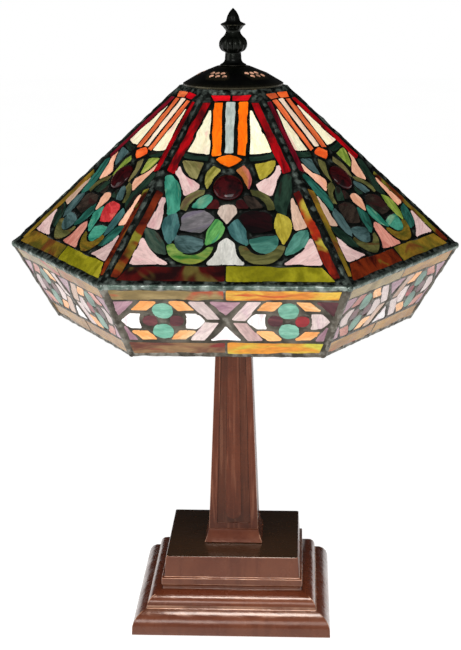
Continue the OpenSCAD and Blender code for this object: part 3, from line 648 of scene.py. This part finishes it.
# For each node: the make of its glass, how far its panes run out over the room between
# them in mm, and the glass of its panes on the front and back panels and on the others:
# those left of the centre line, on it and right of it, from the top down
GLASS = {
    "top_panes": ("clear", 0.12, "scarlet||scarlet", "coral||flame"),
    "ruby_bars": ("clear", 0.12, "ruby||ruby", "wine_ruby||ruby"),
    "orange_bars": ("clear", 0.12, "amber||amber", "coral||coral"),
    "crest_panes": ("clear", 0.12, "|amber|", "|flame|"),
    "band_rubies": ("clear", 0.3, "claret claret||claret cranberry", "claret claret||cranberry claret"),
    "centre_bars": ("milky", 0.12, "|dove|", "|shell|"),
    "cream_panes": ("milky", 0.12, "cream||cream", "cream||cream"),
    "pink_panes": ("milky", 0.6, "pink pink pink||pink tan pink", "peach tan pink||peach peach pink"),
    "centre_panes": ("milky", 0.6, "|haze pearl|", "|peach rosy|"),
    "band_chevrons": ("milky", 0.4, "blush blush||blush pink", "blush tan||tan blush"),
    "band_arrows": ("milky", 0.4, "snow snow||snow blush", "blush blush||blush blush"),
    "band_oranges": ("milky", 0.4, "apricot " * 4 + "||" + "apricot " * 4,
                     "apricot rosy " * 2 + "||" + "apricot rosy " * 2),
    "band_mauves": ("milky", 0.3, "mauve mauve|mauve snow|claret mauve",
                    "mauve mauve|mauve snow|mauve mauve"),
    "band_roundels": ("milky", 0.12, "aqua aqua||aqua aqua", "celadon celadon||celadon celadon"),
    "shoulder_panes": ("wispy", 0.5, "night moss||night citron", "night smoke_teal||night lime"),
    "jewel_leaves": ("wispy", 0.5, "lemon||rose_amber", "lime||moss"),
    "tall_leaves": ("wispy", 0.7, "teal||night", "deep_teal||night"),
    "side_leaves": ("wispy", 0.8, "blue_teal slate||citron sea", "smoke_teal night||lime deep_teal"),
    "arching_leaves": ("wispy", 0.7, "reed teal garnet||olive umber garnet",
                       "olive night umber||olive smoke_teal night"),
    "petals": ("wispy", 0.7, "mulberry smoke_teal||black_ruby sea", "umber smoke_teal||umber teal"),
    "flower_leaves": ("wispy", 0.7, "fern grass||blue_teal olive", "deep_teal olive||teal moor"),
    "border_bars": ("streaky", 0.12, "fire||blaze", "moor||fire"),
    "rim_strips": ("streaky", 0.12, "oxblood||mustard", "moor||mustard"),
    "band_strips": ("streaky", 0.12, "sand brick||sunset harvest", "sand honey||honey honey"),
}
# Single panes that differ from their kind: (node, panel, side, place) to glass
ODD_PANES = {
    ("petals", 5, 1, 0): "cherry",
    ("petals", 5, 1, 1): "teal",
    ("flower_leaves", 5, 1, 0): "teal",
    ("side_leaves", 5, 1, 0): "blue_teal",
    ("jewel_leaves", 1, -1, 0): "olive",
    ("top_panes", 5, 1, 0): "scarlet",
    ("rim_strips", 1, -1, 0): "fire",
    ("rim_strips", 1, 1, 0): "moor",
}
# The makes of glass: the size of the wisps, how hard their edges are, how much of the
# third tone shows and how strongly the glass is lit
MAKES = {
    "clear": dict(wisp=0.8, cloud=(0.3, 0.72), accent=(0.66, 0.8), glow=0.5, rough=0.07),
    "milky": dict(wisp=0.7, cloud=(0.3, 0.7), accent=(0.56, 0.76), glow=0.5, rough=0.12),
    "wispy": dict(wisp=0.9, cloud=(0.34, 0.66), accent=(0.56, 0.7), glow=0.34, rough=0.09),
    "streaky": dict(wisp=0.5, cloud=(0.38, 0.62), accent=(0.53, 0.66), glow=0.42, rough=0.09),
}
# The band leans over the bright floor and needs less light of its own
FLOOR_LIT = {"crown": 1.0, "band": 0.3}
# The size of the grain across and along a pane, and in panes of patchy glass
GRAIN = (7 * MM, 24 * MM)
PATCHY_GRAIN = (14 * MM, 14 * MM)
PATCHY = ("border_bars", "rim_strips")
PANE_HALF = 1.5 * MM
UNDER_SOLDER = 0.8 * MM
PANE_MESH = 3.2 * MM
RIPPLE = 0.09 * MM
TILT = 0.006
MOST_LEAN = 0.25 * MM


def pane_keys(loops):
    """The side and the place in its list of each of a node's panes."""
    middles = [loop[:, 0].mean() for loop in loops]
    sides = [0 if abs(x) < MM else int(math.copysign(1, x)) for x in middles]
    return [(side, sides[:i].count(side)) for i, side in enumerate(sides)]


def long_axis(loop):
    """The direction in which a pane is longest."""
    return np.linalg.eigh(np.cov((loop - loop.mean(axis=0)).T))[1][:, 1]


def set_glass(piece, tones, grain):
    """Gives a piece of glass its three tones and the grain that its wisps follow."""
    for letter, layer in zip("abc", tones):
        set_attribute(piece, "tone_" + letter, "FLOAT_COLOR", layer)
    set_attribute(piece, "grain", "FLOAT_VECTOR", grain)


def glass_sheet(node, rng, ripples):
    """One kind of pane on all six panels. Each pane tilts, ripples and is tinted a little
    differently. Its outline is kept for the solder net."""
    make, overcut, front, side = GLASS[node]
    family_name = "band" if node.startswith("band") else "crown"
    family = FAMILIES[family_name]
    loops = [grown(smooth_outline(p), overcut * MM) for p in front_outlines(node, family)]
    family.loops += loops
    points, faces, grains = [], [], []
    tones = [[], [], []]
    for loop, (where, rank) in zip(loops, pane_keys(loops)):
        xy, triangles = triangulated(grown(loop, UNDER_SOLDER), [], PANE_MESH)
        axis = long_axis(loop)
        across = np.array([axis[1], -axis[0]])
        span = PATCHY_GRAIN if node in PATCHY else GRAIN
        for k in range(SIDES):
            lists = (front if k % 3 == 0 else side).split("|")
            glass = ODD_PANES.get((node, k, where, rank)) or lists[where + 1].split()[rank]
            seed = rng.uniform(0, 40)
            lean = (xy - loop.mean(axis=0)) @ rng.normal(0, TILT, 2)
            lean = np.clip(lean, -MOST_LEAN, MOST_LEAN)
            spot = np.column_stack([xy, np.full(len(xy), seed * MM * 20)])
            start = sum(len(p) for p in points)
            for face_z, ripple in zip((PANE_HALF, -PANE_HALF), ripples):
                z = face_z + lean + RIPPLE * ripple(spot)
                points.append(family.on_panel(k, xy, z))
            faces += [tuple(start + i for i in f) for f in plate(triangles, len(xy))]
            grain = np.column_stack([
                xy @ across / span[0], xy @ axis / span[1], np.full(len(xy), seed)])
            grains += [grain, grain]
            gain = rng.uniform(0.86, 1.1)
            for layer, colour in zip(tones, TONES[glass]):
                toned = np.array(tint(*colour)) * [gain, gain, gain, 1]
                layer.append(np.tile(toned, (2 * len(xy), 1)))
    making = dict(MAKES[make])
    making["glow"] *= FLOOR_LIT[family_name]
    name = node + "_sheet"
    piece = new_piece(name, np.concatenate(points), faces, glass_material(name, **making), 50)
    set_glass(piece, [np.concatenate(layer) for layer in tones], np.concatenate(grains))
    place(piece, "shade", node)


def jewels(turns=48, rows=18):
    """Pressed round jewels in dark ruby glass: a smooth dome on a flat back. Returns the
    outline of one."""
    family = FAMILIES["crown"]
    inverse = family.frames[0].inverted()
    for points, faces in solids("jewels"):
        used = used_points(points, faces)
        if abs(used[:, 0].mean()) < 5 * MM and used[:, 1].mean() < 0:
            own = moved(inverse, used)
    centre = (own.min(axis=0) + own.max(axis=0)) / 2
    radius = (own[:, 0].max() - own[:, 0].min()) / 2
    base, crest = own[:, 2].min(), own[:, 2].max()
    outline = centre[:2] + circle(turns) * radius
    local = [np.column_stack([outline, np.full(turns, base)])]
    for angle in np.arange(rows) / rows * math.pi / 2:
        z = PANE_HALF + (crest - PANE_HALF) * math.sin(angle)
        level = centre[:2] + circle(turns) * radius * math.cos(angle)
        local.append(np.column_stack([level, np.full(turns, z)]))
    local.append(np.array([[centre[0], centre[1], base], [centre[0], centre[1], crest]]))
    local = np.concatenate(local)
    points = np.concatenate([moved(matrix, local) for matrix in family.frames])
    faces = []
    for k in range(SIDES):
        faces += tube_faces(rows + 1, turns, k * len(local))
    material = glass_material("jewel_domes", glow=0.5, rough=0.04, wisp=1.2)
    piece = new_piece("jewel_domes", points, faces, material, 60)
    tones = [np.tile(tint(*colour), (len(points), 1)) for colour in TONES["jewel"]]
    set_glass(piece, tones, points / (9 * MM))
    place(piece, "shade", "jewels")
    return outline


# --- Solder ---

NET_INSET = 1.2 * MM
NET_EDGE = 1.6 * MM
NET_MESH = 1.5 * MM
# Half the net's thickness at a pane's edge, just under the face of the glass
NET_HALF = 1.42 * MM
# The height over the glass from which solder is lighter, from wear and a painted highlight, and fully so
WEAR_AND_HIGHLIGHT_HEIGHTS = (0.8 * MM, 1.1 * MM)
# How far from the beads the net is as bright as them
BRIGHT_END = 4 * MM
RIB_RADIUS = 2.6 * MM


def dome(gap, width=2.2 * MM, height=1.1 * MM):
    """How high solder stands over the glass at a distance from its edge."""
    t = np.clip(gap / width, 0, 1)
    return height * (1 - (1 - t) ** 2)


def relaxed(values, faces, fixed, rounds=4):
    """Values on a mesh, smoothed over its edges away from the fixed points."""
    edges = np.concatenate([faces[:, [0, 1]], faces[:, [1, 2]], faces[:, [2, 0]]])
    count = np.bincount(edges.ravel(), minlength=len(values))
    for _ in range(rounds):
        total = np.bincount(edges[:, 0], values[edges[:, 1]], len(values))
        total += np.bincount(edges[:, 1], values[edges[:, 0]], len(values))
        mean = total / np.maximum(count, 1)
        values = np.where(fixed, values, (values + mean) / 2)
    return values


def solder_net(family_name, material, low, high, seed):
    """The net of solder between the panes of all six panels, front and back."""
    family = FAMILIES[family_name]
    rng = np.random.default_rng(seed)
    outer = divided(family.edge(NET_INSET, low, family.slant - high), NET_EDGE)
    xy, triangles = triangulated(outer, family.loops, NET_MESH)
    dense = np.concatenate([divided(loop, 0.5 * MM) for loop in family.loops])
    gap = gaps(xy, tree_of(dense))
    height = relaxed(dome(gap), triangles, gap < 0.05 * MM)
    points, faces = [], []
    for k in range(SIDES):
        swell, lump = Waves(rng, 11 * MM), Waves(rng, 4.2 * MM)
        over = NET_HALF + height * (1 + 0.16 * swell(xy) + 0.1 * lump(xy))
        start = sum(len(p) for p in points)
        points += [family.on_panel(k, xy, z) for z in (over, -over)]
        faces += [tuple(start + i for i in f) for f in plate(triangles, len(xy))]
    # On its crests the net gets the lighter colour, wear and a painted highlight; by the beads it takes
    # their colour
    crest = (height - WEAR_AND_HIGHLIGHT_HEIGHTS[0]) / (WEAR_AND_HIGHLIGHT_HEIGHTS[1] - WEAR_AND_HIGHLIGHT_HEIGHTS[0])
    end = np.minimum(xy[:, 1] - low, family.slant - high - xy[:, 1])
    ridge = np.clip(np.maximum(crest, (BRIGHT_END - end) / MM), 0, 1)
    name = family_name + "_solder_net"
    piece = new_piece(name, np.concatenate(points), faces, material, 70)
    set_attribute(piece, "ridge", "FLOAT", np.tile(ridge, 2 * SIDES))
    place(piece, "shade", family_name + "_leads")


def lumpy_rod(start, end, radius, rng, steps_mm=2.0, sides=18):
    """Points and faces of a rod of uneven solder between two points."""
    way = Vector(end) - Vector(start)
    count = max(4, round(way.length / (steps_mm * MM)))
    turn = way.to_track_quat("Z", "Y").to_matrix()
    swell, lump = Waves(rng, 17 * MM, 1), Waves(rng, 5 * MM, 3)
    rings = []
    for z in np.arange(count + 1) / count * way.length:
        ring_xyz = np.column_stack([circle(sides) * radius, np.full(sides, z)])
        uneven = 1 + 0.05 * swell(np.array([[z]])) + 0.045 * lump(ring_xyz)
        ring_xyz[:, :2] *= uneven[:, None]
        rings.append(ring_xyz)
    rings.append(np.array([[0, 0, 0], [0, 0, way.length]]))
    points = np.concatenate(rings) @ np.array(turn).T + np.array(start)
    return points, tube_faces(count + 1, sides)


def lumpy_drop(centre, radius, rng):
    """Points and faces of a drop of solder."""
    bm = bmesh.new()
    bmesh.ops.create_icosphere(bm, subdivisions=3, radius=1)
    unit = np.array([v.co for v in bm.verts])
    faces = [tuple(v.index for v in f.verts) for f in bm.faces]
    bm.free()
    uneven = 1 + 0.05 * Waves(rng, 1.6, 3)(unit)
    return unit * uneven[:, None] * radius + np.array(centre), faces


def solder_piece(node, parts, material):
    """One piece from several sets of points and faces."""
    points, faces, start = [], [], 0
    for own_points, own_faces in parts:
        points.append(own_points)
        faces += [tuple(start + i for i in f) for f in own_faces]
        start += len(own_points)
    piece = new_piece(node + "_solder", np.concatenate(points), faces, material, 60)
    set_attribute(piece, "ridge", "FLOAT", np.full(start, 0.75))
    place(piece, "shade", node)


def ring_corners(ring_size):
    radius, z = ring_size
    return [np.array([x, y, z]) for x, y in circle(SIDES) * radius]


def beads_and_ribs(dark, grey, bright):
    rng = np.random.default_rng(SEED + 4)
    for node, size, radius, drop, material, slot in (
        ("crown_bead", CROWN_RING, 2.0, 2.1, bright, "rim_solder"),
        ("rim_bead", RIM_RING, 2.7, 3.4, bright, "rim_solder"),
        ("mouth_bead", MOUTH_RING, 2.0, 2.7, grey, "grey_solder"),
    ):
        corners = ring_corners(size)
        parts = [lumpy_rod(a, b, radius * MM, rng) for a, b in zip(corners, corners[1:] + corners[:1])]
        parts += [lumpy_drop(c, drop * MM, rng) for c in corners]
        solder_piece(node, parts, material)
    for node, low, high, material, slot in (
        ("hip_ribs", RIM_RING, CROWN_RING, dark, "dark_solder"),
        ("band_ribs", MOUTH_RING, RIM_RING, grey, "grey_solder"),
    ):
        ends = zip(ring_corners(low), ring_corners(high))
        parts = [lumpy_rod(a, b, RIB_RADIUS, rng) for a, b in ends]
        solder_piece(node, parts, material)


# --- Castings, finial and fittings ---

def bevelled(bm, edges, offset):
    """Rounds edges and marks the new faces' middle: 1 along ridges, -1 along hollows."""
    # The mark drives painted shade along hollows, and wear with a painted highlight along ridges
    edge_wear_and_shade = bm.verts.layers.float.get("edge_wear_and_shade") or bm.verts.layers.float.new("edge_wear_and_shade")
    made = bmesh.ops.bevel(bm, geom=edges, offset=offset, offset_type="OFFSET", segments=3,
                           profile=0.5, affect="EDGES", clamp_overlap=True)
    strips = set(made["faces"])
    for vertex in {v for face in strips for v in face.verts}:
        if all(face in strips for face in vertex.link_faces):
            turn = sum(e.calc_face_angle_signed(0) for e in vertex.link_edges if e.is_manifold)
            vertex[edge_wear_and_shade] = math.copysign(1, turn)


def painted_shade(node, points):
    """Painted shade on the lacquer: nearly black on the top of the base and a little darker
    in the sunk panels of the column."""
    reach = np.abs(points[:, :2]).max(axis=1)
    z = points[:, 2]
    if node != "column":
        return 0.9 * (z > z.max() - 0.3 * MM) * (node == "base_casting")
    ends = [reach[np.abs(z - end) < 2 * MM].max() for end in (z.min(), z.max())]
    face = ends[0] + (z - z.min()) / (z.max() - z.min()) * (ends[1] - ends[0])
    return 0.22 * np.clip((face - reach) / MM - 0.35, 0, 1)


def softened(node, name, edge, material, top_edge=0.0):
    """A casting: the CAD node with its flat faces made whole and its edges rounded, with
    a size of their own for those of its top."""
    bm = bmesh.new()
    bm.from_mesh(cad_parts[node].data)
    bmesh.ops.remove_doubles(bm, verts=bm.verts, dist=0.02 * MM)
    bmesh.ops.dissolve_limit(bm, angle_limit=math.radians(0.6), verts=bm.verts, edges=bm.edges)
    top = max(v.co.z for v in bm.verts)
    least_turn, most_turn = math.radians(28), math.radians(120)
    bore_reach, shortest, level = 12 * MM, 3 * MM, 0.3 * MM

    def sharp(at_top):
        return [
            e for e in bm.edges
            if e.is_manifold and least_turn < e.calc_face_angle(0) < most_turn
            and (min(v.co.z for v in e.verts) > top - level
                 and max(abs(c) for v in e.verts for c in v.co.xy) > bore_reach) == at_top
        ]

    if top_edge:
        bevelled(bm, sharp(True), top_edge)
        bm.normal_update()
    bevelled(bm, [e for e in sharp(False) if e.calc_length() > shortest], edge)
    mesh = bpy.data.meshes.new(name)
    bm.to_mesh(mesh)
    bm.free()
    piece = smooth_piece(name, mesh, material, 34)
    piece.modifiers.new("even_shading", "WEIGHTED_NORMAL").keep_sharp = True
    set_attribute(piece, "painted_shade", "FLOAT", painted_shade(node, np.array([v.co for v in mesh.vertices])))
    place(piece, "stand", node)


def finial():
    """A turned finial: twelve gadroons round its bulb, eight leaves up its bud and a
    notched collar between them."""
    points = np.array([v.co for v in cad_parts["finial"].data.vertices])
    low, high = points[:, 2].min(), points[:, 2].max()
    radii = np.hypot(points[:, 0], points[:, 1])
    outline = {}
    for z, r in zip(np.round(points[:, 2], 5), radii):
        outline[z] = max(outline.get(z, 0), r)
    tip_start = high - 14 * MM
    bore_r = 5.2 * MM
    levels = sorted(z for z, r in outline.items() if r > bore_r or z > tip_start)
    heights = np.linspace(low, high - 0.05 * MM, 150)
    profile = np.interp(heights, levels, [outline[z] for z in levels])
    for _ in range(3):
        profile[1:-1] = (profile[:-2] + 2 * profile[1:-1] + profile[2:]) / 4
    turns = 96
    angles = np.arange(turns) / turns * math.tau

    def near(z, below_tip, reach):
        return math.exp(-(((high - below_tip * MM - z) / (reach * MM)) ** 4))

    rings = []
    for z, r in zip(heights, profile):
        cut = (
            0.12 * near(z, 31, 7.5) * (np.abs(np.sin(6 * angles)) ** 0.6 - 1)
            + 0.1 * near(z, 6, 5.6) * (np.abs(np.sin(4 * angles)) ** 0.7 - 1)
            + 0.07 * near(z, 15.4, 2.4) * (np.abs(np.sin(6 * angles)) - 0.8)
        )
        reach = r * (1 + np.minimum(cut, 0))
        rings.append(np.column_stack([circle(turns) * reach[:, None], np.full(turns, z)]))
    points = np.concatenate(rings + [np.array([[0, 0, low], [0, 0, high]])])
    faces = tube_faces(len(heights), turns)
    piece = new_piece("fluted_finial", points, faces, BRONZE, 60)
    place(piece, "finial", "finial")


def felt_sheet():
    """The felt under the base, with soft edges, thinned and frayed by wear."""
    low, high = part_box("felt_pad")
    half, thick = high.x - 0.3 * MM, high.z - low.z
    rng = np.random.default_rng(SEED + 5)
    fray = Waves(rng, 6 * MM)
    edge = divided(SQUARE * half, 2 * MM)
    xy, triangles = triangulated(edge, [], 5 * MM)
    reach = np.abs(xy).max(axis=1)
    rim = np.clip((half - reach) / (1.5 * MM), 0, 1)
    xy = xy * (1 - 0.004 * (1 - rim) * (1 + fray(xy)))[:, None]
    top = low.z + thick * (0.6 + 0.35 * rim)
    bottom = low.z + thick * 0.12 * (1 - rim)
    points = np.concatenate([np.column_stack([xy, top]), np.column_stack([xy, bottom])])
    piece = new_piece("felt_sheet", points, plate(triangles, len(xy)), felt(), 60)
    place(piece, "stand", "felt_pad")


def dress(materials):
    """Gives CAD nodes that keep their shape their own materials."""
    for node, material in materials.items():
        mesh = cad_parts[node].data
        mesh.materials.clear()
        mesh.materials.append(material)


# --- Camera, light and floor ---

def camera():
    """A long lens, from a little above the lamp and to its right."""
    distance, height, lens = 1.4475, 0.64, 89.9
    orbit, pan, tilt, roll = math.radians(2.4), 0.0022, -0.25, 0.0035
    turn = (
        Matrix.Rotation(orbit, 3, "Z") @ Matrix.Rotation(pan, 3, "Z")
        @ Matrix.Rotation(tilt, 3, "X") @ Matrix.Rotation(roll, 3, "Y")
    )
    right, ahead, up = turn.col
    data = bpy.data.cameras.new("camera")
    data.lens = lens
    data.clip_end = 50
    eye = in_scene("camera", data)
    matrix = Matrix((right, up, -ahead)).transposed().to_4x4()
    matrix.translation = Matrix.Rotation(orbit, 3, "Z") @ Vector((0, -distance, height))
    eye.matrix_world = matrix
    bpy.context.scene.camera = eye


FLOOR_HALF = 5.0


def softbox(name, spot, aim, size, power, colour=(1, 1, 1), spread=180):
    data = bpy.data.lights.new(name, "AREA")
    data.shape = "RECTANGLE"
    data.size, data.size_y = size
    data.energy = power
    data.color = colour
    data.spread = math.radians(spread)
    lamp = in_scene(name, data)
    lamp.location = spot
    lamp.rotation_euler = (Vector(aim) - Vector(spot)).to_track_quat("-Z", "Y").to_euler()


def studio():
    """A white floor, soft lamps from the front and a room that is dim behind the lamp."""
    sky = Nodes(bpy.data.worlds.new("studio"), "Background")
    bpy.context.scene.world = sky.owner
    behind = sky.part(sky.add("TexCoord").outputs["Generated"], "Y")
    light = sky.add("MapRange", {
        "Value": behind, "From Min": -0.9, "From Max": 0.5, "To Min": 0.32, "To Max": 0.03})
    seen = sky.add("LightPath").outputs["Is Camera Ray"]
    strength = sky.add("Mix", {"Factor": seen, "A": light.outputs["Result"], "B": 1.0})
    sky.shade(color=(1, 1, 1, 1), strength=strength.outputs["Result"])
    softbox("key", (0.1, -1.5, 1.0), (0, 0, 0.2), (0.9, 0.6), 7)
    softbox("second", (-0.24, -1.5, 0.98), (0, 0, 0.2), (0.3, 0.3), 1.6)
    softbox("bulbs", (0.015, -0.09, 0.35), (0.015, -0.09, 0), (0.2, 0.1), 0.3, (1, 0.97, 0.93), 80)
    softbox("fill", (-1.5, -0.45, 0.55), (0, 0, 0.25), (1.0, 0.9), 5)
    mesh = bpy.data.meshes.new("floor")
    mesh.from_pydata([(x, y, 0) for x, y in SQUARE * FLOOR_HALF], [], [(0, 1, 2, 3)])
    nodes = material_nodes("pale_floor")
    nodes.shade(
        base_color=nodes.mix(nodes.spread(nodes.noise(3.0, 3), 0.3, 0.7),
                             (0.3, 0.3, 0.3, 1), (0.34, 0.34, 0.335, 1)),
        roughness=0.9, specular_ior_level=0.1,
        emission_color=(1, 1, 1, 1), emission_strength=0.95,
    )
    mesh.materials.append(nodes.owner)
    in_scene("floor", mesh)
    bpy.context.scene.view_settings.view_transform = "Standard"


# --- The lamp ---

camera()
studio()

BRONZE = black_bronze()
BROWN = cast_brown("cast_brown", tint(88, 42, 26), tint(108, 60, 40), (60.0, 60.0, 9.0),
                   tint(72, 30, 17), 0.0, 0.45)
COLUMN_BROWN = cast_brown("column_brown", tint(70, 27, 12), tint(89, 41, 22), (260.0, 260.0, 2.0),
                          tint(44, 16, 8), 0.32, 0.25)
DARK = solder_material("dark_solder", tint(12, 15, 13), tint(36, 43, 38), tint(140, 154, 144))
GREY = solder_material("grey_solder", tint(66, 62, 54), tint(110, 104, 93), tint(150, 146, 136))
BRIGHT = solder_material("rim_solder", tint(64, 78, 70), tint(112, 128, 118), tint(170, 180, 172))
BRASS = metal("lamp_brass", tint(150, 118, 58), tint(196, 160, 90))

glass_draws = np.random.default_rng(SEED + 2)
both_ripples = [Waves(glass_draws, 16 * MM, 3) for _ in range(2)]
for kind in GLASS:
    glass_sheet(kind, glass_draws, both_ripples)
FAMILIES["crown"].loops.append(jewels())
solder_net("crown", DARK, 1.2 * MM, 0.8 * MM, SEED + 6)
solder_net("band", GREY, 1.2 * MM, 1.2 * MM, SEED + 7)
beads_and_ribs(DARK, GREY, BRIGHT)

softened("base_casting", "base_moulding", 0.9 * MM, BROWN, 1.6 * MM)
softened("column_foot", "column_plinth", 0.6 * MM, BROWN)
softened("column", "tapered_column", 0.8 * MM, COLUMN_BROWN)
softened("column_cap", "column_collar", 0.5 * MM, COLUMN_BROWN)
finial()
felt_sheet()
dress({
    "vase_cap": black_bronze("cap_bronze", vents=True),
    "bottom_plate": metal("zinc_plate", tint(140, 142, 146), tint(176, 178, 180), 30.0),
    "base_washer": metal("steel_washer", tint(130, 130, 134), tint(170, 170, 172), 80.0),
    "ballast_block": metal("grey_iron", tint(60, 60, 62), tint(88, 86, 84), 90.0, 0.8, (0.5, 0.75), 0.5),
    "cord_bushing": plastic("black_rubber", tint(20, 20, 20), tint(38, 37, 36), (0.6, 0.8)),
    "socket_caps": metal("spun_brass", tint(160, 126, 62), tint(206, 170, 98), 45.0, rough=(0.18, 0.3)),
    "socket_shells": metal("drawn_brass", tint(162, 128, 64), tint(208, 172, 100), 45.0, rough=(0.2, 0.32)),
    "socket_cores": plastic("black_phenolic", tint(24, 20, 18), tint(44, 36, 30)),
})
dress({node: BRASS for node in (
    "lamp_pipe", "pipe_nuts", "cluster_body", "arm_nipples", "seat_ring", "crown_ring", "screw_shells")})
for side in ("left", "right"):
    dress({
        "bulb_" + side: bulb_glass(),
        "bulb_base_" + side: metal("cap_aluminium", tint(176, 178, 182), tint(206, 207, 208), 70.0),
        "switch_knob_" + side: plastic("knob_phenolic", tint(20, 18, 16), tint(40, 34, 30), (0.2, 0.35)),
    })
